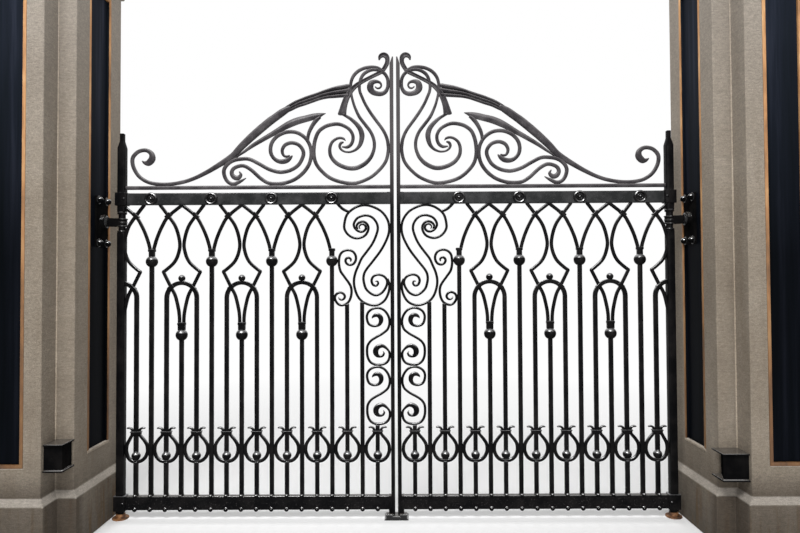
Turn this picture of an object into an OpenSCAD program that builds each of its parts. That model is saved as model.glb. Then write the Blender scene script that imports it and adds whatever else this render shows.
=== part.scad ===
// Pair of wrought iron driveway gates between two stuccoed masonry piers.
// Each leaf is drawn in its own plane: u runs from the meeting line towards
// the hinge, z is the height above the ground. The left leaf is the mirror
// image of the right one. The street is on the -Y side.

/* [Leaf layout] */
// Distance between neighbouring pickets
pitch = 100; // [85:1:120]
// Number of picket spaces in one leaf
bays = 18; // [18:1:18]
// Clear gap between the two closed leaves
leaf_gap = 24; // [18:1:40]
// Side of a square picket
picket = 24; // [18:1:28]

/* [Stiles] */
// Width and depth of the square hinge stile
hinge_stile_w = 50; // [44:1:56]
// Height of the hinge stile's shoulder
hinge_stile_top = 2455; // [2300:5:2600]
// Height of the sloping shoulder
shoulder_h = 46; // [30:1:60]
// Side of the knob on the hinge stile
knob_w = 27; // [20:1:32]
// Height of the knob on the hinge stile
knob_h = 52; // [30:1:70]
// Width of the meeting stile
meeting_stile_w = 22; // [18:1:28]
// Depth of the meeting stile
meeting_stile_d = 30; // [24:1:36]
// Height at which the meeting stile starts to taper
meeting_stile_top = 3010; // [2900:5:3100]
// Length of the meeting stile's pointed end
meeting_point_h = 50; // [30:1:80]
// Height of the meeting stile's foot above the ground
meeting_foot_z = 20; // [18:1:35]

/* [Rails] */
// Height of the bottom rail's lower edge
bottom_rail_z = 58; // [50:1:90]
// Height of the bottom rail
bottom_rail_h = 90; // [70:1:110]
// Depth of the bottom rail
bottom_rail_d = 40; // [34:1:46]
// Height of the top rail's lower edge
top_rail_z = 2071; // [2000:1:2150]
// Height of the top rail
top_rail_h = 80; // [60:1:90]
// Depth of the top rail
top_rail_d = 34; // [30:1:40]
// Gap between the top rail and the thin rail above it
rail_gap = 25; // [12:1:30]
// Height of the thin rail above the top rail
thin_rail_h = 23; // [20:1:32]
// Width of the block that ties each rail to the hinge stile
corner_block_w = 78; // [72:1:84]
// Depth of the block that ties each rail to the hinge stile
corner_block_d = 64; // [60:1:72]
// How far a corner block reaches above and below its rail
corner_block_lip = 5; // [2:1:8]

/* [Balls and collars] */
// Radius of the ball on each long and each short dropped picket
ball_r = 39; // [34:1:44]
// Height of the ball centres on the long pickets
long_ball_z = 1694; // [1650:1:1720]
// Height of the ball centres on the dropped pickets
drop_ball_z = 1206; // [1150:1:1250]
// Distance from a ball's centre to the collar above it
ball_to_collar = 34; // [30:1:60]
// Height of the collar above a ball
ball_collar_h = 50; // [35:1:60]
// Width of the collar above a ball
ball_collar_w = 44; // [36:1:50]
// Radius of the ball at the foot of each odd picket
tear_r = 29; // [22:1:32]
// Radius of the small ball on each hoop
finial_r = 23; // [18:1:26]

/* [Tracery] */
// Width of the ogee bars
ogee_w = 20; // [16:1:24]
// Depth of all bars in the panels
bar_d = 22; // [18:1:24]
// Height of the centre of the hoops
hoop_z = 1452; // [1400:1:1480]
// Height of the point where two ogee bars kink together
kink_z = 1626; // [1600:1:1650]
// Height at which the ogee bars cross
cross_z = 2000; // [1980:1:2020]
// Length of the sleeve where bars cross
sleeve_l = 46; // [34:1:56]
// Width of the sleeve where bars cross
sleeve_w = 27; // [24:1:32]

/* [Lyres] */
// Height of the lowest edge of the lyre rings
lyre_z = 363; // [340:1:380]
// Height of a lyre from its lowest edge to its tips
lyre_h = 240; // [220:1:260]
// Width of the lyre's bar
lyre_w = 17; // [14:1:20]
// Depth of the lyre's bar
lyre_d = 20; // [16:1:24]
// Height of the collar that closes a lyre, above its lowest edge
lyre_collar_z = 186; // [180:1:200]
// Height of the collar itself
lyre_collar_h = 23; // [18:1:30]
// How far a collar stands out round the bars that it ties
collar_out = 4; // [2:1:6]

/* [Panel scrolls] */
// Width of the bars of the scrolls below the top rail
scroll_w = 15; // [12:0.5:17]
// Depth of those bars
scroll_d = 18; // [14:1:24]
// Width of one S scroll
s_w = 165; // [150:1:175]
// Height of one S scroll
s_h = 391; // [376:1:406]
// Height of the lower S scroll's lowest edge
s_z = 606; // [602:1:620]
// Gap between the upper S scroll and the heart above it
heart_gap = 3; // [2:1:12]

/* [Cresting] */
// Width of the bars above the top rail
crest_w = 22; // [18:1:25]

/* [Rosettes] */
// Radius of a rosette
rosette_r = 38; // [32:1:39]
// Thickness of a rosette
rosette_t = 14; // [8:1:20]

/* [Hinges] */
// Radius of the turned journal in the hinge stile
journal_r = 22.5; // [20:0.5:24]
// Height of the middle of the upper hinge
hinge_z = 1955; // [1940:1:1970]
// Length of the turned journal
journal_h = 134; // [110:1:150]
// Running clearance round journal and pivot pin
running_gap = 0.4; // [0.3:0.1:0.8]
// Wall of the strap round the journal
strap_wall = 8; // [6:1:10]
// Height of the strap and its arm
strap_h = 54; // [40:1:64]
// Thickness of the hinge arm
arm_t = 24; // [16:1:30]
// Width of the hinge plate along the reveal
plate_w = 150; // [130:1:160]
// Height of the hinge plate
plate_h = 330; // [280:5:360]
// Thickness of the hinge plate
plate_t = 14; // [10:1:18]
// Distance between the two columns of hinge nuts
nut_dx = 104; // [90:1:110]
// Distance between the two rows of hinge nuts
nut_dz = 280; // [230:5:300]
// Radius of the domed hinge nuts
nut_r = 21; // [16:1:23]
// Radius of the boss on the hinge plate
boss_r = 46; // [36:1:50]
// Thickness of the boss on the hinge plate
boss_t = 26; // [18:1:32]
// How far the hinge plate's middle lies towards the street
plate_shift = 55; // [50:1:60]
// Radius of the pivot pin under the hinge stile
pivot_r = 18; // [14:1:20]
// Radius of the pivot socket's dish
socket_r = 52; // [44:1:56]
// Height of the pivot socket's dish
socket_h = 9; // [6:1:14]
// Radius of the raised ring round the pivot pin
socket_ring_r = 30; // [26:1:34]
// Height of the raised ring round the pivot pin
socket_ring_h = 32; // [24:1:36]

/* [Ground stop] */
// Width of the ground stop across the opening
stop_w = 160; // [120:1:200]
// Depth of the ground stop
stop_d = 118; // [100:1:140]
// Height of the ground stop's base plate
stop_base_h = 12; // [8:1:12]
// Height of the ridge that the leaves close against
stop_ridge_h = 38; // [30:1:46]
// Thickness of that ridge
stop_ridge_d = 30; // [20:1:34]
// Gap between that ridge and the closed leaves
stop_gap = 9; // [6:1:14]
// Run of the base plate's sloping ends
stop_slope = 12; // [6:1:16]
// Width of the two pads on the ridge
stop_pad_w = 46; // [30:1:55]

/* [Piers] */
// Distance from the hinge axis to the reveal of a pier
reveal_gap = 97; // [92:1:130]
// Width of a pier's body
pier_w = 660; // [600:5:800]
// Distance from the gate plane to the front of a pier's body
pier_front = 395; // [380:1:460]
// Distance from the gate plane to the back of a pier's body
pier_back = 178; // [160:1:240]
// How far the front and back faces stand out from the body
face_out = 147; // [100:1:180]
// Width of the notch at each corner of a pier
notch_w = 110; // [90:1:130]
// Height of a pier's shaft
pier_h = 3620; // [3500:5:3900]
// How far the plinth stands out
plinth_out = 35; // [25:1:35]
// Height of the plinth up to its sloping top
plinth_h = 285; // [250:1:320]
// Height of the plinth's sloping top
plinth_slope = 40; // [30:1:50]
// Height of the pier's cap
cap_h = 110; // [80:1:160]
// Height of the cap's upright edge
cap_edge_h = 66; // [40:1:75]
// How far the cap stands out
cap_out = 45; // [30:1:70]
// How far the cap's top stands out above its slope
cap_top_out = 15; // [5:1:25]

/* [Pier panels] */
// Height of the lower edge of the panels
panel_z = 495; // [430:5:560]
// Distance from the upper edge of the panels to the top of the shaft
panel_margin = 150; // [120:5:240]
// Distance from the gate plane to the reveal panel's street edge
reveal_panel_front = 240; // [220:1:280]
// Distance from the gate plane to the reveal panel's garden edge
reveal_panel_back = 25; // [22:1:60]
// Width of the panel in a pier's front face
front_panel_w = 230; // [200:5:260]
// Depth of the recess that holds a panel
recess_d = 34; // [30:1:45]
// Thickness of a panel
panel_t = 14; // [8:1:16]

/* [Corner boxes] */
// Height of the lower edge of the iron box at the left pier's street corner
left_box_z = 466; // [440:2:480]
// Height of the lower edge of the iron box at the right pier's street corner
right_box_z = 400; // [380:2:420]
// How far the left box's flanges reach past the reveal
left_box_out = 4; // [2:1:12]
// How far the right box's flanges reach past the reveal
right_box_out = 44; // [36:1:50]
// Height of the iron boxes
box_h = 160; // [140:2:180]
// How far the iron boxes stand out from the notch's back face
box_d = 132; // [100:1:140]
// Thickness of the boxes' top and bottom flanges
box_flange_t = 10; // [6:1:14]
// How far the flanges reach past the sides of their box
box_lip = 12; // [8:1:16]

/* [Hidden] */

// Places across a leaf
meeting_u = leaf_gap / 2 + meeting_stile_w / 2;
hinge_u = meeting_u + bays * pitch;
panel_in = meeting_u + meeting_stile_w / 2;
panel_out = hinge_u - hinge_stile_w / 2;
function picket_u(k) = meeting_u + (bays - k) * pitch;

// Gap left where a bar's end is seated on a curved one
seat_gap = 0.3;
collar_d = picket + 2 * collar_out;

// Levels
bottom_rail_top = bottom_rail_z + bottom_rail_h;
top_rail_top = top_rail_z + top_rail_h;
thin_rail_z = top_rail_top + rail_gap;
thin_rail_top = thin_rail_z + thin_rail_h;
long_apex_z = long_ball_z + ball_to_collar + ball_collar_h;
drop_apex_z = drop_ball_z + ball_to_collar + ball_collar_h;
stile_foot_z = socket_ring_h + 6;
tear_z = lyre_z + lyre_w + tear_r;

// Piers
reveal_u = hinge_u + reveal_gap;
panel_top = pier_h - panel_margin;
panel_u = reveal_u + recess_d - panel_t;

// Places of the gate in the whole model: the origin is under the left pier
pier_mid_u = reveal_u + pier_w / 2;
pier_mid_y = (pier_front - pier_back) / 2;

// Each scroll is drawn once, by hand, between two corners of its middle lines.
// The first pair is the drawing, the second the place that it fills.
s_drawn = [[7.5, 7.5], [157.5, 383.5]];
heart_drawn = [[41.5, 1398.5], [411, 2063.5]];
heart_place = [
  [panel_in + scroll_w / 2, s_z + 2 * s_h + heart_gap + scroll_w / 2],
  [picket_u(14) - picket / 2, top_rail_z - scroll_w / 2]
];
side_drawn = [[41.5, 1398.5], [403.5, 2063.5]];
side_place = [heart_place[0], [picket_u(14) - picket / 2 - scroll_w / 2, heart_place[1][1]]];
crest_drawn = [[45, 2206], [1798, 3010]];
crest_place = [
  [panel_in + crest_w / 2, thin_rail_top + crest_w / 2],
  [panel_out, meeting_stile_top]
];

iron = [0.10, 0.10, 0.11];
stucco = [0.62, 0.57, 0.50];
dark_panel = [0.09, 0.10, 0.13];
rusty = [0.45, 0.27, 0.12];

// Curves
function size2(v) = sqrt(v[0] * v[0] + v[1] * v[1]);
function flip(list) = [for (i = [len(list) - 1 : -1 : 0]) list[i]];

// Point on the smooth curve through a, b, c and d, at t between b and c
function curve_point(a, b, c, d, t) =
  0.5 * (2 * b + (c - a) * t + (2 * a - 5 * b + 4 * c - d) * t * t + (3 * b - a - 3 * c + d) * t * t * t);

// Smooth curve through knots [u, z, width], with n steps between two knots
function smooth(knots, n = 3) = let (last = len(knots) - 1) concat(
  [for (i = [0 : last - 1], j = [0 : n - 1])
    curve_point(knots[max(i - 1, 0)], knots[i], knots[i + 1], knots[min(i + 2, last)], j / n)],
  [knots[last]]);

// Unit vector across the line at its point i
function across(line, i) =
  let (a = line[max(i - 1, 0)], b = line[min(i + 1, len(line) - 1)], d = [b[0] - a[0], b[1] - a[1]])
  [-d[1], d[0]] / size2(d);

// One edge of a bar whose middle line is given
function edge(line, side) = [for (i = [0 : len(line) - 1])
  [line[i][0], line[i][1]] + across(line, i) * side * line[i][2] / 2];

// Knots with one width, moved and stretched
function knots(points, width, place, stretch) = [for (p = points)
  [place[0] + p[0] * stretch[0], place[1] + p[1] * stretch[1], len(p) > 2 ? p[2] : width]];

// Knots of a drawing, carried from the drawing's corners to those of its place
function fit(points, width, drawn, place) =
  let (stretch = [for (i = [0, 1]) (place[1][i] - place[0][i]) / (drawn[1][i] - drawn[0][i])])
  knots(points, width, [for (i = [0, 1]) place[0][i] - drawn[0][i] * stretch[i]], stretch);

// Lowest height at which the edges of a bar cross the upright line at u
function height_at(line, u) = min([for (side = [-1, 1]) let (e = edge(line, side))
  for (i = [0 : len(e) - 2]) if ((e[i][0] - u) * (e[i + 1][0] - u) < 0)
    e[i][1] + (e[i + 1][1] - e[i][1]) * (u - e[i][0]) / (e[i + 1][0] - e[i][0])]);

// Forged bar along a list of knots, standing in the leaf's plane
module bar(knot_list, depth = bar_d, n = 3) {
  line = smooth(knot_list, n);
  upright(depth)
    polygon(concat(edge(line, 1), flip(edge(line, -1))));
}

// Upright plate from an outline in u and z
module upright(depth) {
  rotate([90, 0, 0])
    linear_extrude(depth, center = true)
      children();
}

// Upright square bar centred on u, from one height to another
module post(u, z0, z1, w, d) {
  translate([u - w / 2, -d / 2, z0])
    cube([w, d, z1 - z0]);
}

// Keeps what lies in a window of the leaf
module within(u0, u1, z0, z1) {
  intersection() {
    children();
    translate([u0, -pitch, z0])
      cube([u1 - u0, 2 * pitch, z1 - z0]);
  }
}

// Square bar that narrows from w0 to w1
module taper(w0, w1, h) {
  side = [[-w0 / 2, 0], [w0 / 2, 0], [w1 / 2, h], [-w1 / 2, h]];
  intersection() {
    rotate([90, 0, 0])
      linear_extrude(w0, center = true)
        polygon(side);
    rotate([90, 0, 90])
      linear_extrude(w0, center = true)
        polygon(side);
  }
}

// Places a leaf's piece in the whole model
module leaf(side) {
  translate([pier_mid_u, pier_mid_y, 0])
    if (side == "left")
      mirror([1, 0, 0])
        children();
    else
      children();
}

// Frame of a leaf
module hinge_stile() {
  journal_z = hinge_z - journal_h / 2;
  color(iron) {
    post(hinge_u, stile_foot_z, journal_z, hinge_stile_w, hinge_stile_w);
    post(hinge_u, journal_z + journal_h, hinge_stile_top, hinge_stile_w, hinge_stile_w);
    translate([hinge_u, 0, journal_z])
      cylinder(r = journal_r, h = journal_h, $fn = 48);
    translate([hinge_u, 0, hinge_stile_top])
      taper(hinge_stile_w, knob_w, shoulder_h);
    post(hinge_u, hinge_stile_top + shoulder_h, hinge_stile_top + shoulder_h + knob_h, knob_w, knob_w);
    translate([hinge_u, 0, socket_h + running_gap])
      cylinder(r = pivot_r, h = stile_foot_z - socket_h - running_gap, $fn = 48);
    corner_block(bottom_rail_z, bottom_rail_h);
    corner_block(top_rail_z, top_rail_h);
  }
}

// Block that wraps the hinge stile at a rail
module corner_block(z, h) {
  post(hinge_u, z - corner_block_lip, z + h + corner_block_lip, corner_block_w, corner_block_d);
}

rail_out = hinge_u - corner_block_w / 2;

module meeting_stile() {
  color(iron) {
    post(meeting_u, meeting_foot_z, meeting_stile_top, meeting_stile_w, meeting_stile_d);
    upright(meeting_stile_d)
      polygon([
        [meeting_u - meeting_stile_w / 2, meeting_stile_top],
        [meeting_u + meeting_stile_w / 2, meeting_stile_top],
        [meeting_u - meeting_stile_w / 4, meeting_stile_top + meeting_point_h],
        [meeting_u - meeting_stile_w / 2, meeting_stile_top + meeting_point_h]
      ]);
  }
}

module rail(z, h, d, u1) {
  color(iron)
    translate([panel_in, -d / 2, z])
      cube([u1 - panel_in, d, h]);
}

module bottom_rail() {
  rail(bottom_rail_z, bottom_rail_h, bottom_rail_d, rail_out);
}

module top_rail() {
  rail(top_rail_z, top_rail_h, top_rail_d, rail_out);
}

module thin_rail() {
  rail(thin_rail_z, thin_rail_h, bar_d, panel_out);
}

// Ring and button forged on the face of the top rail
module rosettes() {
  color(iron)
    for (k = [2 : 4 : 14])
      translate([picket_u(k), -top_rail_d / 2, top_rail_z + top_rail_h / 2])
        rotate([90, 0, 0])
          rotate_extrude($fn = 48)
            rosette_profile();
}

module rosette_profile() {
  r = rosette_r;
  t = rosette_t;
  polygon([
    [0, 0], [r, 0], [r, t * 0.45], [r * 0.92, t * 0.8], [r * 0.78, t], [r * 0.64, t * 0.85],
    [r * 0.54, t * 0.35], [r * 0.42, t * 0.35], [r * 0.34, t * 0.9], [r * 0.18, t * 1.25], [0, t * 1.35]
  ]);
}

// Pickets
module ball_collar(u, ball_z) {
  z = ball_z + ball_to_collar;
  post(u, z, z + ball_collar_h, ball_collar_w, ball_collar_w);
}

module ball_picket(k, ball_z) {
  post(picket_u(k), bottom_rail_top, ball_z + ball_to_collar, picket, picket);
  translate([picket_u(k), 0, ball_z])
    sphere(r = ball_r, $fn = 20);
  ball_collar(picket_u(k), ball_z);
}

module long_pickets() {
  color(iron)
    for (k = [2 : 4 : 14])
      ball_picket(k, long_ball_z);
}

module drop_pickets() {
  color(iron)
    for (k = [4 : 4 : 12])
      ball_picket(k, drop_ball_z);
}

// The ball at the foot of an odd picket hangs inside its lyre
module drop_end(k) {
  translate([picket_u(k), 0, tear_z])
    sphere(r = tear_r, $fn = 20);
}

// Pickets that end under the side scroll, the heart and the S scrolls
module short_pickets() {
  color(iron) {
    picket_under(15, tear_z, smooth(side_line));
    drop_end(15);
    picket_under(16, bottom_rail_top, smooth(heart_inner_line));
    post(picket_u(17), tear_z, s_z, picket, picket);
    drop_end(17);
  }
}

// Picket whose top follows the lower edge of a scroll
module picket_under(k, z0, line) {
  u0 = picket_u(k) - picket / 2;
  steps = 6;
  top = [for (i = [0 : steps]) let (u = u0 + picket * i / steps) [u, height_at(line, u) - seat_gap]];
  upright(picket)
    polygon(concat([[u0 + picket, z0], [u0, z0]], top));
}

// Tracery: ogee bars round the dropped pickets, and the hoops below them
v_knots = [[0, 1], [0.90, 0.75], [1.38, 0.56], [1.72, 0.34], [1.90, 0.13], [1.92, 0]];
bulge_knots = [[1.46, 1], [0.92, 0.84], [0.42, 0.67], [0.15, 0.445], [0.21, 0.29], [0.48, 0.15],
  [0.96, 0.045], [1.23, 0]];
spade_knots = [[1.23, 1], [0.75, 0.71], [0.41, 0.53], [0.15, 0.32], [0.08, 0.13], [0.08, 0]];

// Half of the pattern beside picket k, towards the hinge or the meeting line
module tracery_half(k, way) {
  u = picket_u(k);
  bar(knots(v_knots, ogee_w, [u, long_apex_z], [way * pitch, top_rail_z - long_apex_z]));
  bar(knots(bulge_knots, ogee_w, [u, kink_z], [way * pitch, top_rail_z - kink_z]));
  bar(knots(spade_knots, ogee_w, [u, drop_apex_z], [way * pitch, kink_z - drop_apex_z]));
  upright(bar_d)
    translate([u + way * 1.23 * pitch, kink_z])
      circle(r = ogee_w / 2, $fn = 24);
  sleeve(u + way * 0.72 * pitch, hoop_z + 0.70 * pitch, way);
  sleeve(u + way * 0.91 * pitch, cross_z, way);
}

// Half ring that joins two odd pickets over picket k
module hoop(k) {
  step = 15;
  bar([for (a = [0 : step : 180])
    [picket_u(k) + pitch * cos(a), hoop_z + pitch * sin(a), picket]], picket, 1);
}

module finial(k) {
  translate([picket_u(k), 0, hoop_z + pitch + picket / 2 + finial_r * 0.8])
    sphere(r = finial_r, $fn = 20);
}

// Sleeve round two crossing bars. It lies along the one that falls away from
// the middle of the pattern.
module sleeve(u, z, way) {
  translate([u, 0, z])
    rotate([0, way * 45, 0])
      cube([sleeve_l, collar_d, sleeve_w], center = true);
}

module tracery() {
  color(iron)
    within(panel_in, panel_out, lyre_z, top_rail_z)
      difference() {
        union() {
          tracery_half(0, -1);
          hoop(0);
          for (k = [4 : 4 : 12]) {
            tracery_half(k, -1);
            tracery_half(k, 1);
            hoop(k);
            finial(k);
          }
          for (k = [1 : 2 : 13]) {
            post(picket_u(k), tear_z, hoop_z + 1, picket, picket);
            drop_end(k);
          }
        }
        for (k = [4 : 4 : 12])
          ball_collar(picket_u(k), drop_ball_z);
        for (k = [2 : 4 : 14])
          ball_collar(picket_u(k), long_ball_z);
      }
}

// Lyres
lyre_side = [[0, 0], [0.44, 0.02], [0.78, 0.11], [0.965, 0.26], [0.99, 0.37], [0.925, 0.50], [0.68, 0.64],
  [0.37, 0.76], [0.275, 0.83], [0.275, 0.895, 15], [0.36, 0.965, 12], [0.52, 1.008, 10], [0.70, 1.02, 9],
  [0.86, 1.02, 6]];
lyre_knots = concat(
  [for (i = [len(lyre_side) - 1 : -1 : 1]) let (p = lyre_side[i]) [-p[0], p[1], len(p) > 2 ? p[2] : lyre_w]],
  lyre_side);

// Half width of a lyre's middle line. The ring of lyre k may have less room on
// one side of its picket; the neck above it keeps its width.
lyre_room = pitch - picket / 2 - lyre_w / 2;
lyre_neck = 0.7;
function ring_room(k, way) =
  min(lyre_room, (way > 0 ? panel_out - picket_u(k) : picket_u(k) - panel_in) - lyre_w / 2);

module lyre(k) {
  u = picket_u(k);
  z = lyre_z + lyre_w / 2;
  rise = lyre_h - lyre_w;
  line = [for (p = lyre_knots)
    let (room = p[1] > lyre_neck ? lyre_room : ring_room(k, sign(p[0])))
      [u + p[0] * room, z + p[1] * rise, len(p) > 2 ? p[2] : lyre_w]];
  collar_z = lyre_z + lyre_collar_z;
  side_w = lyre_w + collar_out;
  bar(line, lyre_d);
  post(u, bottom_rail_top, z, picket, picket);
  for (way = [-1, 1])
    post(u + way * (picket + side_w) / 2, collar_z, collar_z + lyre_collar_h, side_w, collar_d);
}

module lyres() {
  color(iron)
    for (k = [1 : 2 : 17])
      lyre(k);
}

// S scrolls beside the meeting stile, one on the other
s_knots = [[123, 316, 5], [117, 325, 14], [102, 335, 22], [82, 335, 26], [67, 320, 29], [64, 296, 26],
  [76, 274, 19], [99, 264], [121, 265], [143, 276], [155, 300], [157.5, 332], [144, 361], [116, 379],
  [80, 383.5], [47, 371], [24, 346], [11, 318], [7.5, 292], [11, 265], [24, 238], [58, 211], [93, 192],
  [122, 174], [141, 156], [154, 132], [157.5, 100], [154, 62], [139, 30], [113, 12], [78, 7.5], [42, 14],
  [21, 29], [10, 52], [8, 82], [20, 107, 13], [48, 130, 20], [75, 130, 27], [96, 113, 32], [100, 89, 32],
  [90, 70, 24], [71, 63, 16], [53, 68, 14], [45, 83, 11], [51, 96, 4]];

module s_scrolls() {
  r = scroll_w / 2;
  u1 = panel_in + s_w;
  color(iron)
    within(panel_in, u1, s_z, s_z + 2 * s_h)
      for (z = [s_z, s_z + s_h - 1])
        bar(fit(s_knots, scroll_w, s_drawn, [[panel_in + r, z + r], [u1 - r, z + s_h - r]]), scroll_d);
}

// Heart scroll under the top rail, beside the meeting stile
heart_outer = [[250, 1908, 8], [258, 1926, 13], [244, 1946], [216, 1955], [190, 1941], [179, 1912],
  [188, 1880], [208, 1858], [240, 1845], [272, 1845], [302, 1858], [329, 1886], [341, 1925], [325, 1996],
  [286, 2037], [240, 2059], [192, 2063.5], [142, 2050], [92, 2021], [56, 1975], [41.5, 1924], [45, 1873],
  [64, 1822], [98, 1761], [144, 1699], [198, 1630], [213, 1588], [210, 1546], [196, 1506], [165, 1476],
  [129, 1464], [92, 1480], [64, 1518], [56, 1556], [74, 1587], [112, 1601], [146, 1590], [160, 1562],
  [151, 1535], [130, 1527, 14], [116, 1540, 13], [120, 1556, 11], [133, 1556, 6]];
heart_inner = [[236, 1907, 6], [241, 1922, 9], [224, 1937, 12], [203, 1930, 14], [197, 1908], [211, 1891],
  [234, 1887], [257, 1898], [272, 1916], [277, 1936], [267, 1961], [244, 1984], [200, 1996], [158, 1985],
  [127, 1950], [117, 1909], [128, 1863], [154, 1806], [190, 1756], [225, 1709], [246, 1664], [267, 1613],
  [277, 1562], [272, 1512], [252, 1458], [217, 1420], [165, 1398.5], [115, 1402], [73, 1430], [47, 1482],
  [41.5, 1535], [54, 1572]];

heart_inner_line = fit(heart_inner, scroll_w, heart_drawn, heart_place);
branch = [[390, 2080, 18], [350, 2040, 18], [305, 2018, 16]];

module heart_scroll() {
  color(iron)
    within(panel_in, panel_out, s_z, top_rail_z) {
      bar(fit(heart_outer, scroll_w, heart_drawn, heart_place), scroll_d);
      bar(heart_inner_line, scroll_d);
      bar(fit(branch, scroll_w, heart_drawn, heart_place), scroll_d);
    }
}

// Scroll between the heart and the fourth long picket
side_knots = [[299, 1690, 8], [297, 1703, 13], [310, 1714], [327, 1709], [333, 1692], [324, 1675], [305, 1666],
  [281, 1673], [265, 1697], [265, 1727], [283, 1755], [317, 1765], [350, 1755], [370, 1731], [376, 1694],
  [375, 1662], [366, 1625], [342, 1590], [311, 1547], [297, 1519], [293, 1485], [300, 1446], [318, 1416],
  [352, 1399], [383, 1407], [403.5, 1440], [396, 1470], [371, 1483], [349, 1476], [338, 1457],
  [346, 1440, 14], [361, 1435, 13], [375, 1442, 10], [379, 1452, 5]];

side_line = fit(side_knots, scroll_w, side_drawn, side_place);

module side_scroll() {
  color(iron)
    within(panel_in, picket_u(14) - picket / 2, s_z, top_rail_z)
      bar(side_line, scroll_d);
}

// Cresting
neck_knots = [[1690, 2364, 6], [1672, 2352, 22], [1648, 2352, 36], [1625, 2378, 38], [1628, 2412, 30],
  [1656, 2434, 24], [1692, 2436, 22], [1728, 2420], [1756, 2380], [1748, 2320], [1708, 2258], [1640, 2218],
  [1542, 2206], [1442, 2216], [1352, 2242, 22], [1262, 2285, 25], [1175, 2336, 30], [1086, 2396, 35],
  [1029, 2456, 40], [940, 2540, 45], [850, 2617, 46], [800, 2654, 44], [750, 2690, 42], [700, 2720, 30]];

// Three ribs grow out of the neck and spread towards the tongue. They stand
// on a web that closes the grooves between them.
ribs = [
  [[745, 2708, 6], [700, 2737, 14], [650, 2764, 17], [600, 2785, 18], [550, 2802, 18], [500, 2819, 18],
    [450, 2836, 20], [400, 2850, 23], [350, 2859, 25], [300, 2866, 26]],
  [[750, 2692, 10], [700, 2720, 16], [650, 2746, 18], [600, 2765, 18], [550, 2782, 18], [500, 2799, 18],
    [450, 2813, 20], [400, 2822, 23], [350, 2829, 25], [300, 2838, 26]],
  [[735, 2684, 8], [700, 2702, 14], [650, 2727, 17], [600, 2744, 18], [550, 2762, 18], [500, 2779, 18],
    [450, 2790, 20], [400, 2795, 23], [350, 2799, 25], [312, 2803, 26]]
];
rib_web = [[750, 2692, 36], [700, 2720, 46], [650, 2746, 50], [600, 2765, 52], [550, 2782, 52], [500, 2799, 54],
  [450, 2813, 62], [400, 2823, 72], [350, 2829, 80], [312, 2835, 84]];
leaf_knots = [[1064, 2384, 10], [1000, 2430, 20], [940, 2472, 27], [850, 2525, 32], [800, 2554, 35],
  [750, 2584, 41], [700, 2610, 47], [650, 2630, 48], [600, 2643, 45], [550, 2656, 43], [510, 2666, 34],
  [480, 2675, 16], [464, 2679, 4]];
leaf_prong = [[500, 2655, 20], [522, 2638, 28], [548, 2604, 27], [570, 2562, 25], [580, 2528, 22], [582, 2500, 20]];

module crest_bar(points, width = crest_w, depth = bar_d) {
  bar(fit(points, width, crest_drawn, crest_place), depth);
}

module swan_neck() {
  color(iron)
    difference() {
      union() {
        crest_bar(neck_knots);
        crest_bar(rib_web, depth = bar_d - 8);
        for (rib = ribs)
          crest_bar(rib, depth = bar_d + 4);
        crest_bar(leaf_knots);
        crest_bar(leaf_prong);
      }
      for (line = [tongue_knots, lyre_outer, lyre_middle, upper_c, lower_c])
        crest_bar(line, depth = 2 * bar_d);
    }
}

upper_c = [[998, 2245, 6], [1042, 2219, 20], [1079, 2206], [1115, 2219], [1138, 2256], [1144, 2298],
  [1126, 2333], [1085, 2363], [1025, 2375], [971, 2372], [912, 2343], [850, 2308], [796, 2289], [751, 2285],
  [694, 2299], [644, 2334], [617, 2384], [612, 2419], [626, 2450], [653, 2473], [694, 2482], [733, 2468],
  [752, 2440, 20], [752, 2413, 18], [740, 2394, 16], [722, 2390, 14], [706, 2397, 8]];
lower_c = [[1040, 2288, 8], [1030, 2268, 18], [1050, 2247, 28], [1077, 2253, 28], [1092, 2281, 24], [1079, 2310],
  [1042, 2327], [1007, 2327], [966, 2304], [922, 2265], [895, 2241], [850, 2213], [796, 2206], [738, 2211],
  [671, 2235], [617, 2276], [578, 2329], [561, 2384], [561, 2433], [573, 2473], [599, 2514], [644, 2546],
  [694, 2557], [742, 2550], [787, 2527], [819, 2491], [832, 2450], [829, 2411], [812, 2381], [785, 2361, 25],
  [755, 2355, 28], [725, 2362, 29], [702, 2378, 22], [687, 2394, 8]];

module crest_scrolls() {
  color(iron)
    difference() {
      union() {
        crest_bar(upper_c);
        crest_bar(lower_c);
      }
      crest_bar(lyre_outer, depth = 2 * bar_d);
    }
}

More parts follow.
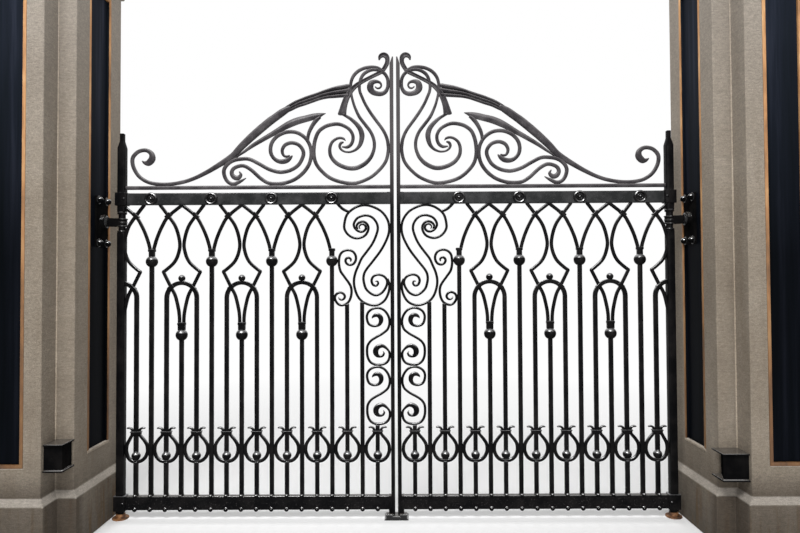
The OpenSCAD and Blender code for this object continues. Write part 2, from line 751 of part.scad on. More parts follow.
tongue_knots = [[353, 2668, 56], [346, 2705, 46], [336, 2745, 40], [320, 2787, 36], [295, 2829, 31],
  [259, 2866, 26], [217, 2893, 22], [158, 2924, 20], [112, 2947, 22], [84, 2964, 24], [66, 2988, 26],
  [52, 3015, 28], [48, 3042, 28], [54, 3064, 26], [70, 3076, 24], [88, 3072, 18], [100, 3058, 12],
  [103, 3044, 4]];
lyre_outer = [[352, 2453, 8], [320, 2451, 18], [294, 2468, 20], [281, 2500, 20], [283, 2535, 20], [304, 2570, 20],
  [338, 2593, 20], [380, 2607, 21], [428, 2603], [474, 2586], [514, 2550], [539, 2475], [539, 2376],
  [501, 2302], [415, 2234], [283, 2206, 21], [175, 2240, 20], [102, 2299, 20], [59, 2360, 20], [45, 2426, 20],
  [46, 2465, 20], [54, 2509, 20], [79, 2564, 19], [120, 2622, 19], [160, 2678, 19], [195, 2736, 18],
  [217, 2784, 18], [232, 2821, 18], [237, 2853, 18], [234, 2883, 18], [226, 2914, 19], [210, 2941, 20],
  [186, 2960, 20], [157, 2972, 20], [128, 2974, 20], [97, 2967, 20], [67, 2946, 20], [50, 2917, 20],
  [45, 2883, 20], [48, 2849, 21], [63, 2823, 24], [88, 2810, 26], [118, 2811, 28], [146, 2822, 33],
  [163, 2846, 39], [160, 2876, 36], [142, 2891, 27], [118, 2893, 19], [96, 2888, 12], [82, 2877, 4]];
lyre_middle = [[332, 2496, 6], [344, 2508, 14], [368, 2513, 15], [396, 2505, 16], [424, 2479, 18], [436, 2433, 20],
  [427, 2386, 22], [392, 2344, 24], [340, 2317, 25], [291, 2307, 26], [246, 2314, 26], [197, 2342, 25],
  [161, 2383, 22], [141, 2433, 20], [138, 2479, 20], [147, 2520, 20], [167, 2560, 20], [202, 2607, 20],
  [238, 2656, 19], [265, 2714, 17], [281, 2763, 16], [291, 2808, 16], [295, 2853, 17], [293, 2885, 18],
  [285, 2914, 19], [269, 2941, 20], [246, 2963, 20], [217, 2979, 20], [188, 2988, 20], [149, 2991, 20],
  [112, 2984, 20], [78, 2962, 20]];
lyre_inner = [[345, 2672, 16], [320, 2657, 17], [293, 2639, 20], [257, 2606, 25], [232, 2571, 29], [221, 2535, 31],
  [223, 2500, 28], [235, 2464, 23], [257, 2437, 17], [285, 2422, 13], [312, 2417, 12], [340, 2422, 12],
  [361, 2437, 14], [370, 2457, 16], [362, 2477, 17], [345, 2484, 10]];

module crest_lyre() {
  color(iron)
    within(panel_in, panel_out, thin_rail_top, meeting_stile_top + 2 * pitch) {
      crest_bar(tongue_knots);
      crest_bar(lyre_outer);
      crest_bar(lyre_middle);
      crest_bar(lyre_inner);
    }
}

// Pier: a shaft crossed by a deeper one, which leaves a notch at each corner.
// A profile lists [how far out, height] from the foot to the top.
module pier_blocks(profile) {
  block(reveal_u, reveal_u + pier_w, -pier_front, pier_back, profile);
  block(reveal_u + notch_w, reveal_u + pier_w - notch_w, -pier_front - face_out, pier_back + face_out, profile);
}

// Block over a rectangle, with the same profile on its four sides
module block(a, b, f, r, profile) {
  wide = max([for (p = profile) p[0]]);
  intersection() {
    translate([0, r + wide, 0])
      rotate([90, 0, 0])
        linear_extrude(r - f + 2 * wide)
          polygon(both_sides(a, b, profile));
    translate([a - wide, 0, 0])
      rotate([90, 0, 90])
        linear_extrude(b - a + 2 * wide)
          polygon(both_sides(f, r, profile));
  }
}

function both_sides(a, b, profile) =
  concat([for (p = profile) [b + p[0], p[1]]], [for (p = flip(profile)) [a - p[0], p[1]]]);

module pier() {
  color(stucco)
    difference() {
      union() {
        pier_blocks([[0, 0], [0, pier_h]]);
        pier_blocks([[plinth_out, 0], [plinth_out, plinth_h], [0, plinth_h + plinth_slope]]);
      }
      reveal_recess();
      front_recess();
    }
}

module reveal_recess() {
  translate([reveal_u - 1, -reveal_panel_front, panel_z])
    cube([recess_d + 1, reveal_panel_front + reveal_panel_back, panel_top - panel_z]);
}

module front_recess() {
  translate([pier_mid_u - front_panel_w / 2, -pier_front - face_out - 1, panel_z])
    cube([front_panel_w, recess_d + 1, panel_top - panel_z]);
}

module pier_panels() {
  color(dark_panel) {
    translate([panel_u, -reveal_panel_front, panel_z])
      cube([panel_t, reveal_panel_front + reveal_panel_back, panel_top - panel_z]);
    translate([pier_mid_u - front_panel_w / 2, -pier_front - face_out + recess_d - panel_t, panel_z])
      cube([front_panel_w, panel_t, panel_top - panel_z]);
  }
}

module pier_cap() {
  color(stucco)
    translate([0, 0, pier_h])
      pier_blocks([[cap_out, 0], [cap_out, cap_edge_h], [cap_top_out, cap_h]]);
}

// Hinge bracket on the panel of the reveal
module hinge_bracket() {
  face_u = panel_u - plate_t;
  color(iron)
    difference() {
      union() {
        translate([face_u, -plate_shift - plate_w / 2, hinge_z - plate_h / 2])
          cube([plate_t, plate_w, plate_h]);
        translate([face_u - boss_t, -plate_shift, hinge_z])
          rotate([0, 90, 0])
            cylinder(r = boss_r, h = boss_t, $fn = 48);
        hinge_arm(face_u);
        translate([hinge_u, 0, hinge_z - strap_h / 2])
          cylinder(r = journal_r + running_gap + strap_wall, h = strap_h, $fn = 48);
        for (y = [-1, 1], z = [-1, 1])
          translate([face_u, -plate_shift + y * nut_dx / 2, hinge_z + z * nut_dz / 2])
            domed_nut();
      }
      translate([hinge_u, 0, hinge_z - strap_h])
        cylinder(r = journal_r + running_gap, h = 2 * strap_h, $fn = 48);
    }
}

// Arm from the boss to the strap, seen in plan
module hinge_arm(face_u) {
  translate([0, 0, hinge_z - strap_h / 2])
    linear_extrude(strap_h)
      polygon([
        [face_u, -plate_shift - arm_t / 2], [face_u, -plate_shift + arm_t],
        [hinge_u + 4, journal_r + running_gap + strap_wall / 2], [hinge_u, -journal_r - running_gap - strap_wall / 2]
      ]);
}

module domed_nut() {
  rotate([0, -90, 0]) {
    cylinder(r = nut_r, h = nut_r * 0.4, $fn = 20);
    translate([0, 0, nut_r * 0.4])
      intersection() {
        sphere(r = nut_r, $fn = 20);
        cylinder(r = nut_r, h = nut_r, $fn = 20);
      }
  }
}

module pivot_socket() {
  color(rusty)
    translate([hinge_u, 0, 0])
      difference() {
        union() {
          cylinder(r = socket_r, h = socket_h, $fn = 48);
          cylinder(r = socket_ring_r, h = socket_ring_h, $fn = 48);
        }
        translate([0, 0, socket_h])
          cylinder(r = pivot_r + running_gap, h = socket_ring_h, $fn = 48);
      }
}

// Iron box with two flanges in the notch at the street corner of a pier. Its
// side slants: it leaves the notch at the reveal and reaches past it in front.
module corner_box(z, out) {
  edge_u = reveal_u - out;
  color(iron)
    translate([0, 0, z]) {
      linear_extrude(box_h)
        box_outline(reveal_u + box_lip, edge_u + box_lip / 2, box_d - box_lip);
      for (level = [0, box_h - box_flange_t])
        translate([0, 0, level])
          linear_extrude(box_flange_t)
            box_outline(edge_u, edge_u, box_d);
    }
}

module box_outline(back_u, front_u, d) {
  inner = reveal_u + notch_w;
  polygon([
    [inner, -pier_front], [back_u, -pier_front], [front_u, -pier_front - d], [inner, -pier_front - d]
  ]);
}

// Shoe in the ground between the leaves, with a ridge that they close against
module ground_stop() {
  ridge_y = -meeting_stile_d / 2 - stop_gap - stop_ridge_d;
  ridge_w = stop_w - 2 * stop_slope;
  color(iron)
    translate([pier_mid_u, pier_mid_y, 0]) {
      translate([0, ridge_y + stop_d, 0])
        rotate([90, 0, 0])
          linear_extrude(stop_d)
            polygon([
              [-stop_w / 2, 0], [stop_w / 2, 0], [ridge_w / 2, stop_base_h], [-ridge_w / 2, stop_base_h]
            ]);
      for (way = [-1, 1])
        translate([way * (ridge_w - stop_pad_w) / 2 - stop_pad_w / 2, ridge_y, 0])
          cube([stop_pad_w, stop_ridge_d, stop_ridge_h]);
      translate([-ridge_w / 2, ridge_y, 0])
        cube([ridge_w, stop_ridge_d, stop_ridge_h - stop_slope]);
    }
}

leaf("left") hinge_stile();  // left_hinge_stile
leaf("left") meeting_stile();  // left_meeting_stile
leaf("left") bottom_rail();  // left_bottom_rail
leaf("left") top_rail();  // left_top_rail
leaf("left") thin_rail();  // left_thin_rail
leaf("left") rosettes();  // left_rosettes
leaf("left") long_pickets();  // left_long_pickets
leaf("left") drop_pickets();  // left_drop_pickets
leaf("left") short_pickets();  // left_short_pickets
leaf("left") tracery();  // left_tracery
leaf("left") lyres();  // left_lyres
leaf("left") s_scrolls();  // left_s_scrolls
leaf("left") heart_scroll();  // left_heart_scroll
leaf("left") side_scroll();  // left_side_scroll
leaf("left") swan_neck();  // left_swan_neck
leaf("left") crest_scrolls();  // left_crest_scrolls
leaf("left") crest_lyre();  // left_crest_lyre
leaf("right") hinge_stile();  // right_hinge_stile
leaf("right") meeting_stile();  // right_meeting_stile
leaf("right") bottom_rail();  // right_bottom_rail
leaf("right") top_rail();  // right_top_rail
leaf("right") thin_rail();  // right_thin_rail
leaf("right") rosettes();  // right_rosettes
leaf("right") long_pickets();  // right_long_pickets
leaf("right") drop_pickets();  // right_drop_pickets
leaf("right") short_pickets();  // right_short_pickets
leaf("right") tracery();  // right_tracery
leaf("right") lyres();  // right_lyres
leaf("right") s_scrolls();  // right_s_scrolls
leaf("right") heart_scroll();  // right_heart_scroll
leaf("right") side_scroll();  // right_side_scroll
leaf("right") swan_neck();  // right_swan_neck
leaf("right") crest_scrolls();  // right_crest_scrolls
leaf("right") crest_lyre();  // right_crest_lyre
leaf("left") pier();  // left_pier
leaf("left") pier_cap();  // left_pier_cap
leaf("left") pier_panels();  // left_pier_panels
leaf("left") hinge_bracket();  // left_hinge_bracket
leaf("left") pivot_socket();  // left_pivot_socket
leaf("left") corner_box(left_box_z, left_box_out);  // left_corner_box
leaf("right") pier();  // right_pier
leaf("right") pier_cap();  // right_pier_cap
leaf("right") pier_panels();  // right_pier_panels
leaf("right") hinge_bracket();  // right_hinge_bracket
leaf("right") pivot_socket();  // right_pivot_socket
leaf("right") corner_box(right_box_z, right_box_out);  // right_corner_box
ground_stop();
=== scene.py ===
"""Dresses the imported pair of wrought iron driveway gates: forged bars, balls, rivets, stucco and panels."""

import math

import bmesh
import bpy
from mathutils import Matrix, Vector, noise

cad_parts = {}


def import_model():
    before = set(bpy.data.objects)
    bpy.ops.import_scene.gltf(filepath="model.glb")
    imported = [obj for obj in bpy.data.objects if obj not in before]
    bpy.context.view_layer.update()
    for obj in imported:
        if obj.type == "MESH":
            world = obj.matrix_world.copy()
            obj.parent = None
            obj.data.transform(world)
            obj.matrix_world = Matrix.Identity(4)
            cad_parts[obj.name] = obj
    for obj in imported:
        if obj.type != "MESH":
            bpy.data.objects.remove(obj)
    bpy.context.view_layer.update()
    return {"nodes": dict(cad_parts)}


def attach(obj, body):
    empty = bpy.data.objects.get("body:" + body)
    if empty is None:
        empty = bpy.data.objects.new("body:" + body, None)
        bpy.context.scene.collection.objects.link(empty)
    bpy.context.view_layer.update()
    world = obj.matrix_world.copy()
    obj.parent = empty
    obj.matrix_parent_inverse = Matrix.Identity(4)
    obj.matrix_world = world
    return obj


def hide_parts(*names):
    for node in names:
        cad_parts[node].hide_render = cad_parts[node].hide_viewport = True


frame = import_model()
# The hammer's unevenness is the same in every run
noise.seed_set(1)

# A leaf's own drawing, in millimetres: u from the meeting line to the hinge, y to the garden, z up
MM = 0.001
SIDES = {"left": -1, "right": 1}
PIER_MID_U = 2250
GATE_Y = 108.5
PITCH = 100
BAYS = 18
PICKET = 24
BAR_D = 22
# Paint and hammer marks make a bar look this much wider than its solid
PAINTED = 1.15
# How deep a bar is rooted in what carries it, how far a rail laps what it meets, how far ends are eased
ROOT = 4
LAP = 2
EASE = 2.5
# Facets of the larger turned parts
FINE = 40

# Stiles
MEETING_U = 23
MEETING_W = 22
MEETING_D = 30
MEETING_TOP = 3010
MEETING_FOOT = 20
POINT_H = 50
POINT_W = 8
HINGE_U = MEETING_U + BAYS * PITCH
HINGE_W = 50
HINGE_TOP = 2455
STILE_FOOT = 38
SHOULDER_H = 46
KNOB_W = 27
KNOB_H = 52
BLOCK_W = 78
BLOCK_D = 64
BLOCK_LIP = 5
BLOCK_RIVET = (8, 6)
BLOCK_RIVET_U = HINGE_U - 24
PANEL_IN = MEETING_U + MEETING_W / 2
PANEL_OUT = HINGE_U - HINGE_W / 2

# Rails, from foot to top
BOTTOM_RAIL = (58, 148)
BOTTOM_RAIL_D = 40
TOP_RAIL = (2071, 2151)
TOP_RAIL_D = 34
THIN_RAIL = (2176, 2199)
RAIL_OUT = HINGE_U - BLOCK_W / 2
# Uprights beside the meeting stile: u and width
BOTTOM_BAND = (PANEL_IN + 8, 22)
TOP_BAND = (PANEL_IN + 10, 24)
STUB = (PANEL_IN + 6, 20)
STUB_FOOT = 27
STUD_R = 12.5
# Heads along the bottom rail: radius and height, distance over the rail's foot, and facets
RIVETS = (((15, 9), 5, 20), ((6, 11.5), 7, 16))

# Pickets are counted from the hinge stile, 0, to the meeting stile, 18
LONG_PICKETS = range(2, 15, 4)
DROP_PICKETS = range(4, 13, 4)
BALL_R = 39
LONG_BALL_Z = 1694
DROP_BALL_Z = 1206
BALL_TO_COLLAR = 34
BALL_COLLAR_H = 50
COLLAR_D = 32
# Widths of a ball's collar and of the band round its top
LONG_COLLAR = (34, 43)
DROP_COLLAR = (46, 50)
BAND_H = 20
BAND_LIP = 5
LONG_APEX_Z = LONG_BALL_Z + BALL_TO_COLLAR + BALL_COLLAR_H
DROP_APEX_Z = DROP_BALL_Z + BALL_TO_COLLAR + BALL_COLLAR_H

# Lyres over the bottom rail, and the balls in them
LYRE_Z = 363
LYRE_W = 17
LYRE_H = 240
LYRE_D = 20
LYRE_NECK = 0.7
LYRE_ROOM = PITCH - PICKET / 2 - LYRE_W / 2
LYRE_COLLAR_REACH = PICKET / 2 + LYRE_W + 4
LYRE_COLLAR_Z = LYRE_Z + 186
LYRE_COLLAR_TOP = LYRE_COLLAR_Z + 23
LYRE_LIP = 4
LYRE_LIP_H = 7
TEAR_R = 29
TEAR_Z = LYRE_Z + LYRE_W + TEAR_R

# Tracery
HOOP_Z = 1452
HOOP_TAIL = 14
HOOP_TOP = HOOP_Z + PITCH + PICKET / 2
KINK_Z = 1626
CROSS_Z = 2000
OGEE_W = 20
FINIAL_R = 23
FINIAL_Z = HOOP_TOP + FINIAL_R * 0.8
SLEEVE_L = 46
SLEEVE_W = 27
# Sleeves beside a picket: on the hoop and where the ogee bars cross
HOOP_SLEEVE = (0.72 * PITCH, HOOP_Z + 0.70 * PITCH)
CROSS_SLEEVE = (0.91 * PITCH, CROSS_Z)

# Scrolls
SCROLL_W = 15
SCROLL_D = 18
CREST_W = 22
S_Z = 606
S_H = 391
S_W = 165
HEART_GAP = 3

# Hinge and pivot
HINGE_Z = 1955
JOURNAL_R = 22.5
JOURNAL_H = 134
PIVOT_R = 18
SOCKET_H = 9
PIVOT_GAP = 0.4
PLATE_FACE_U = 1926
PLATE_Y = -55
NUT_DX = 104
NUT_DZ = 280
BOSS_U = PLATE_FACE_U - 26
# Rings round the strap: distance from the hinge's height, outer radius and height
STRAP_RINGS = ((-23, 35, 9), (23, 35, 9), (0, 33.5, 12))

# Piers and their dark panels
REVEAL_U = 1920
PANEL_U = 1940
PANEL_Z = 495
PANEL_TOP = 3470
REVEAL_PANEL = (-240, 25)
FRONT_PANEL = (2135, 2365)
FRONT_Y = -542
NOTCH_CORNER = (2030, -395)
PIER_H = 3620
PLINTH_TOP = 325
BEAD_W = 7
LATH_W = 20
FRONT_LATH_D = 19
# Uprights beside the reveal's panel: u, y, width and depth
STREET_EDGE = (REVEAL_U + LATH_W / 2, REVEAL_PANEL[0] + LATH_W / 2, LATH_W, LATH_W)
GARDEN_EDGE = (REVEAL_U + 3, REVEAL_PANEL[1] - 1, 10, 16)
GARDEN_LIP = (PANEL_U - 7, REVEAL_PANEL[1] - 4, 16, 11)
# Laths over and under it: u, z, the y of both ends, width and height
PANEL_HEAD = (REVEAL_U + LATH_W / 2, PANEL_TOP - LATH_W / 2, *REVEAL_PANEL, LATH_W, LATH_W)
PANEL_SILL = (REVEAL_U + 8, PANEL_Z + 7, REVEAL_PANEL[0], REVEAL_PANEL[1] + 7, 22, 16)


def picket_u(k):
    return MEETING_U + (BAYS - k) * PITCH


# Materials
def new_material(name):
    material = bpy.data.materials.new(name)
    material.use_nodes = True
    tree = material.node_tree
    return material, tree, tree.nodes["Principled BSDF"]


def wire(tree, target, inputs):
    """Links sockets to a node's inputs and sets its other inputs to plain values."""
    for key, value in inputs.items():
        if isinstance(value, bpy.types.NodeSocket):
            tree.links.new(value, target.inputs[key])
        else:
            target.inputs[key].default_value = value


def node(tree, kind, inputs=None, **settings):
    made = tree.nodes.new(kind)
    for key, value in settings.items():
        setattr(made, key, value)
    wire(tree, made, inputs or {})
    return made


def calc(tree, operation, a, b):
    return node(tree, "ShaderNodeMath", {0: a, 1: b}, operation=operation).outputs[0]


def times(tree, a, b):
    return calc(tree, "MULTIPLY", a, b)


def rest_of(tree, factor):
    return calc(tree, "SUBTRACT", 1.0, factor)


def place(tree, scale=(1, 1, 1)):
    """Coordinates of the piece itself, stretched."""
    coordinates = node(tree, "ShaderNodeTexCoord")
    mapping = node(tree, "ShaderNodeMapping", {"Vector": coordinates.outputs["Object"], "Scale": scale})
    return mapping.outputs["Vector"]


def noise_of(tree, scale, detail=4, rough=0.55, stretch=(1, 1, 1)):
    made = node(tree, "ShaderNodeTexNoise", {
        "Vector": place(tree, stretch), "Scale": scale, "Detail": detail, "Roughness": rough})
    return made.outputs["Fac"]


def ramp(tree, factor, stops):
    """Colour or grey by factor. The stops list (position, colour or grey)."""
    made = node(tree, "ShaderNodeValToRGB", {"Fac": factor})
    band = made.color_ramp
    while len(band.elements) < len(stops):
        band.elements.new(0.5)
    for element, (position, colour) in zip(band.elements, stops):
        element.position = position
        element.color = (*colour, 1) if hasattr(colour, "__len__") else (colour, colour, colour, 1)
    return made.outputs["Color"]


def mix(tree, factor, a, b, blend="MIX"):
    """Mix of two colours. Sockets 6 and 7 of the node are its colours, and output 2 is its result."""
    a, b = (value if isinstance(value, bpy.types.NodeSocket) else (*value, 1) for value in (a, b))
    made = node(tree, "ShaderNodeMix", {0: factor, 6: a, 7: b}, data_type="RGBA", blend_type=blend)
    return made.outputs[2]


def between(tree, factor, low, high):
    made = node(tree, "ShaderNodeMapRange", {"Value": factor, "To Min": low, "To Max": high})
    return made.outputs["Result"]


def share(tree, value, low, high):
    """0 at low, 1 at high, clamped."""
    made = node(tree, "ShaderNodeMapRange", {"Value": value, "From Min": low, "From Max": high})
    return made.outputs["Result"]


def bump(tree, height, strength, distance, normal=None):
    inputs = {"Height": height, "Strength": strength, "Distance": distance}
    if normal is not None:
        inputs["Normal"] = normal
    return node(tree, "ShaderNodeBump", inputs).outputs["Normal"]


def up_facing(tree, low, high):
    """1 on faces that look up, 0 on the rest."""
    geometry = node(tree, "ShaderNodeNewGeometry")
    split = node(tree, "ShaderNodeSeparateXYZ", {"Vector": geometry.outputs["Normal"]})
    return share(tree, split.outputs["Z"], low, high)


def axis_of(tree, axis):
    return node(tree, "ShaderNodeSeparateXYZ", {"Vector": place(tree)}).outputs[axis]


def height_share(tree, low, high):
    """0 below low, 1 above high, in metres over the ground."""
    return share(tree, axis_of(tree, "Z"), low, high)


def near(tree, axis, centre, half, soft):
    """1 within half of the centre along an axis, 0 from soft further out."""
    away = calc(tree, "ABSOLUTE", calc(tree, "SUBTRACT", axis_of(tree, axis), centre), 0.0)
    return share(tree, away, half + soft, half)


def iron_material(name, base, worn, rough, dust=0.5, rust=0.0, sheen=0.9, painted_sheen_facing=(0.30, 0.62), dull=0.008,
                  painted_sky_top=None, chips=2.0, dust_and_highlight_facing=(0.55, 0.95), dust_and_highlight_colour=(0.13, 0.115, 0.10)):
    """Black paint over forged iron: hammer dents, worn spots, dust, and rust near the ground.

    Painted highlight: the gloss, from dull to sheen, rises on sides that look up within their limits, less on
    flat tops, standing in for the sky's reflection. A light colour on sides within their limits is partly
    dust, partly painted highlight; the highest part's colour, where given, is a painted reflection of the
    sky.
    """
    material, tree, shader = new_material(name)
    patches = ramp(tree, noise_of(tree, 9, 5, 0.6), [(0.42, 0.0), (0.70, 1.0)])
    colour = mix(tree, patches, base, worn)
    specks = ramp(tree, noise_of(tree, 160, 3, 0.6), [(0.64, 0.0), (0.76, 1.0)])
    colour = mix(tree, specks, colour, tuple(chips * c for c in worn))
    if rust:
        low = rest_of(tree, height_share(tree, 0.010, 0.034))
        stains = times(tree, low, share(tree, noise_of(tree, 38, 5, 0.65), 0.40, 0.58))
        colour = mix(tree, times(tree, stains, rust), colour, (0.22, 0.10, 0.035))
    # Lighter colour on the highest part: a painted reflection of the sky
    if painted_sky_top:
        colour = mix(tree, height_share(tree, 2.05, 2.45), colour, painted_sky_top)
    # Light colour on sides that look up: partly dust, partly a painted highlight of the sky
    dust_and_highlight_mask = times(tree, up_facing(tree, *dust_and_highlight_facing), between(tree, noise_of(tree, 30, 4), 0.2, 1.0))
    colour = mix(tree, times(tree, dust_and_highlight_mask, dust), colour, dust_and_highlight_colour)
    # Painted highlight: more gloss on sides that look up, less on flat tops, in place of the sky's reflection
    level = rest_of(tree, times(tree, up_facing(tree, 0.92, 0.99), 0.9))
    painted_sheen_mask = times(tree, up_facing(tree, *painted_sheen_facing), level)
    dents = node(tree, "ShaderNodeTexVoronoi", {"Vector": place(tree), "Scale": 62, "Smoothness": 1.0},
                 feature="SMOOTH_F1")
    normal = bump(tree, dents.outputs["Distance"], 0.22, 0.002)
    wire(tree, shader, {
        "Base Color": colour,
        "Roughness": between(tree, noise_of(tree, 22, 4), rough - 0.10, rough + 0.14),
        "IOR": 2.1,
        "Specular IOR Level": between(tree, painted_sheen_mask, dull, sheen),
        "Normal": bump(tree, noise_of(tree, 420, 3), 0.10, 0.001, normal)})
    return material


def rust_material(name):
    material, tree, shader = new_material(name)
    wire(tree, shader, {
        "Base Color": ramp(tree, noise_of(tree, 26, 6, 0.65), [
            (0.34, (0.020, 0.011, 0.007)), (0.48, (0.105, 0.040, 0.013)), (0.60, (0.27, 0.125, 0.045)),
            (0.74, (0.10, 0.050, 0.025))]),
        "Roughness": between(tree, noise_of(tree, 40, 4), 0.45, 0.85),
        "Normal": bump(tree, noise_of(tree, 150, 6, 0.7), 0.5, 0.003)})
    return material


def stucco_material(name, lighter=1.0):
    """Sanded lime render with clouds of tone, a few drips and dirt near the ground."""
    material, tree, shader = new_material(name)
    tones = [(0.185, 0.153, 0.118), (0.232, 0.196, 0.154), (0.275, 0.238, 0.194)]
    tones = [tuple(c * lighter for c in tone) for tone in tones]
    clouds = ramp(tree, noise_of(tree, 1.5, 6, 0.62), list(zip((0.30, 0.52, 0.74), tones)))
    drips = share(tree, noise_of(tree, 4.0, 6, 0.6, (2.2, 2.2, 0.30)), 0.52, 0.80)
    colour = mix(tree, times(tree, drips, 0.55), clouds, (0.150, 0.118, 0.085))
    pale = height_share(tree, 2.0, 3.4)
    colour = mix(tree, times(tree, pale, 0.40), colour, (0.330, 0.306, 0.280))
    low = rest_of(tree, height_share(tree, 0.05, 0.60))
    soil = times(tree, low, between(tree, noise_of(tree, 5, 6, 0.65, (2, 2, 0.6)), 0.5, 1.0))
    colour = mix(tree, soil, colour, (0.050, 0.042, 0.033))
    runs = times(tree, rest_of(tree, height_share(tree, 0.24, 0.33)),
                 share(tree, noise_of(tree, 9, 5, 0.6, (2.6, 2.6, 0.25)), 0.50, 0.68))
    colour = mix(tree, times(tree, runs, 0.8), colour, (0.100, 0.060, 0.030))
    under_box = times(tree, rest_of(tree, height_share(tree, 0.30, 0.46)), near(tree, "Y", -0.37, 0.07, 0.07))
    colour = mix(tree, times(tree, under_box, 0.75), colour, (0.050, 0.038, 0.028))
    # Painted highlight: sides that look up, the plinth's slopes and ledges, are lighter as if lit from above
    painted_ledge_light = times(tree, up_facing(tree, 0.3, 0.6), 0.55)
    colour = mix(tree, painted_ledge_light, colour, (0.46, 0.42, 0.37))
    mottle = ramp(tree, noise_of(tree, 48, 5, 0.75, (1, 1, 1.6)), [(0.36, 0.84), (0.64, 1.10)])
    strokes = ramp(tree, noise_of(tree, 26, 4, 0.7, (1, 1, 8)), [(0.34, 0.86), (0.66, 1.08)])
    grains = ramp(tree, noise_of(tree, 230, 3, 0.75), [(0.36, 0.74), (0.64, 1.16)])
    for shade in (mottle, strokes, grains):
        colour = mix(tree, 1.0, colour, shade, "MULTIPLY")
    normal = bump(tree, noise_of(tree, 22, 4, 0.65, (1, 1, 7)), 0.45, 0.006)
    wire(tree, shader, {
        "Base Color": colour,
        "Roughness": 0.9,
        "Specular IOR Level": 0.2,
        "Normal": bump(tree, noise_of(tree, 190, 4, 0.75), 0.75, 0.004, normal)})
    return material


def panel_material(name):
    """Dark polished panel with faint upright streaks."""
    material, tree, shader = new_material(name)
    colour = ramp(tree, noise_of(tree, 14, 5, 0.6, (1, 1, 0.035)), [
        (0.30, (0.0055, 0.0075, 0.0095)), (0.52, (0.0095, 0.0120, 0.018)), (0.72, (0.024, 0.028, 0.042))])
    low = rest_of(tree, height_share(tree, 1.7, 3.0))
    wire(tree, shader, {
        "Base Color": mix(tree, low, colour, (0.26, 0.26, 0.26), "MULTIPLY"),
        "Roughness": between(tree, noise_of(tree, 9, 5, 0.6, (1, 1, 0.08)), 0.22, 0.50),
        "Specular IOR Level": 0.01,
        "Normal": bump(tree, noise_of(tree, 60, 4, 0.6, (1, 1, 0.1)), 0.12, 0.002)})
    return material


def trim_material(name):
    """Amber lacquer of the panels' frames, worn pale in places."""
    material, tree, shader = new_material(name)
    colour = ramp(tree, noise_of(tree, 12, 5, 0.65, (1, 1, 0.25)), [
        (0.30, (0.15, 0.070, 0.024)), (0.50, (0.36, 0.175, 0.065)), (0.66, (0.50, 0.29, 0.13)),
        (0.82, (0.50, 0.40, 0.29))])
    low = rest_of(tree, height_share(tree, 0.8, 2.6))
    wire(tree, shader, {
        "Base Color": mix(tree, low, colour, (0.34, 0.30, 0.22), "MULTIPLY"),
        "Roughness": 0.6,
        "Normal": bump(tree, noise_of(tree, 120, 4), 0.3, 0.002)})
    return material


# Paint of the gate, whole and worn
BLACK = (0.0034, 0.0034, 0.0038)
WORN = (0.010, 0.0092, 0.0092)

# Its light colour on sides that look up is partly dust, partly painted highlight
GATE_IRON = iron_material("gate_iron_paint", BLACK, WORN, 0.22, 0.75, dust_and_highlight_facing=(0.30, 0.72),
                          dust_and_highlight_colour=(0.17, 0.17, 0.175))
# Lighter than the gate's black: a painted reflection of the sky on the high iron; its light colour on sides
# that look up is partly dust, partly painted highlight
CREST_IRON_PAINTED_SKY = iron_material("crest_iron_painted_sky_reflection", (0.030, 0.0275, 0.030), (0.080, 0.075, 0.078), 0.30, 1.0,
                           sheen=0.14, painted_sheen_facing=(0.10, 0.60), dust_and_highlight_facing=(0.05, 0.62), dust_and_highlight_colour=(0.165, 0.155, 0.158))
CHIPPED_IRON = iron_material("chipped_iron_paint", BLACK, WORN, 0.22, chips=16)
# Lighter than the gate's black: a painted reflection of the sky on the top rail
RAIL_IRON_PAINTED_SKY = iron_material("rail_iron_painted_sky_reflection", (0.015, 0.0158, 0.0162), (0.042, 0.042, 0.043), 0.30, 0.9,
                          sheen=0.5)
# A little lighter than the gate's black, with a light colour on sides that look up: painted highlight on the
# rosettes
ROSETTE_IRON_PAINTED_HIGHLIGHT = iron_material("rosette_iron_painted_highlight", (0.0060, 0.0060, 0.0064), (0.020, 0.019, 0.019), 0.20,
                             0.8, sheen=0.9, painted_sheen_facing=(0.05, 0.50), dust_and_highlight_facing=(0.20, 0.75),
                             dust_and_highlight_colour=(0.12, 0.12, 0.125))
# Its highest part takes a lighter colour: a painted reflection of the sky
STILE_IRON_PAINTED_SKY = iron_material("stile_iron_painted_sky_top", BLACK, WORN, 0.24, painted_sky_top=(0.060, 0.055, 0.056), sheen=0.14)
# Strong gloss on sides that look up: painted highlight on the domed nuts
BRACKET_IRON = iron_material("bracket_iron_paint", (0.0030, 0.0030, 0.0032), (0.0075, 0.0070, 0.0068), 0.20,
                             0.9, rust=0.35, dull=0, sheen=1.6, painted_sheen_facing=(0.18, 0.60))
STRAP_IRON = iron_material("strap_iron_paint", BLACK, WORN, 0.24, dull=0.12)
RUSTY_IRON = rust_material("rusty_iron")
STUCCO = stucco_material("sanded_stucco")
PALE_STUCCO = stucco_material("pale_stucco", 1.8)
DARK_PANEL = panel_material("dark_panel_stone")
TRIM = trim_material("amber_trim")


# Lines and sections
LINE_STEPS = 5


def curve_point(a, b, c, d, t):
    """Point on a smooth curve from b to c, with a before and d after them."""
    return [0.5 * (2 * q + (r - p) * t + (2 * p - 5 * q + 4 * r - s) * t * t
                   + (3 * q - p - 3 * r + s) * t ** 3)
            for p, q, r, s in zip(a, b, c, d)]


def smooth(points):
    last = len(points) - 1
    line = []
    for i in range(last):
        around = (points[max(i - 1, 0)], points[i], points[i + 1], points[min(i + 2, last)])
        line += [curve_point(*around, j / LINE_STEPS) for j in range(LINE_STEPS)]
    return line + [list(points[last])]


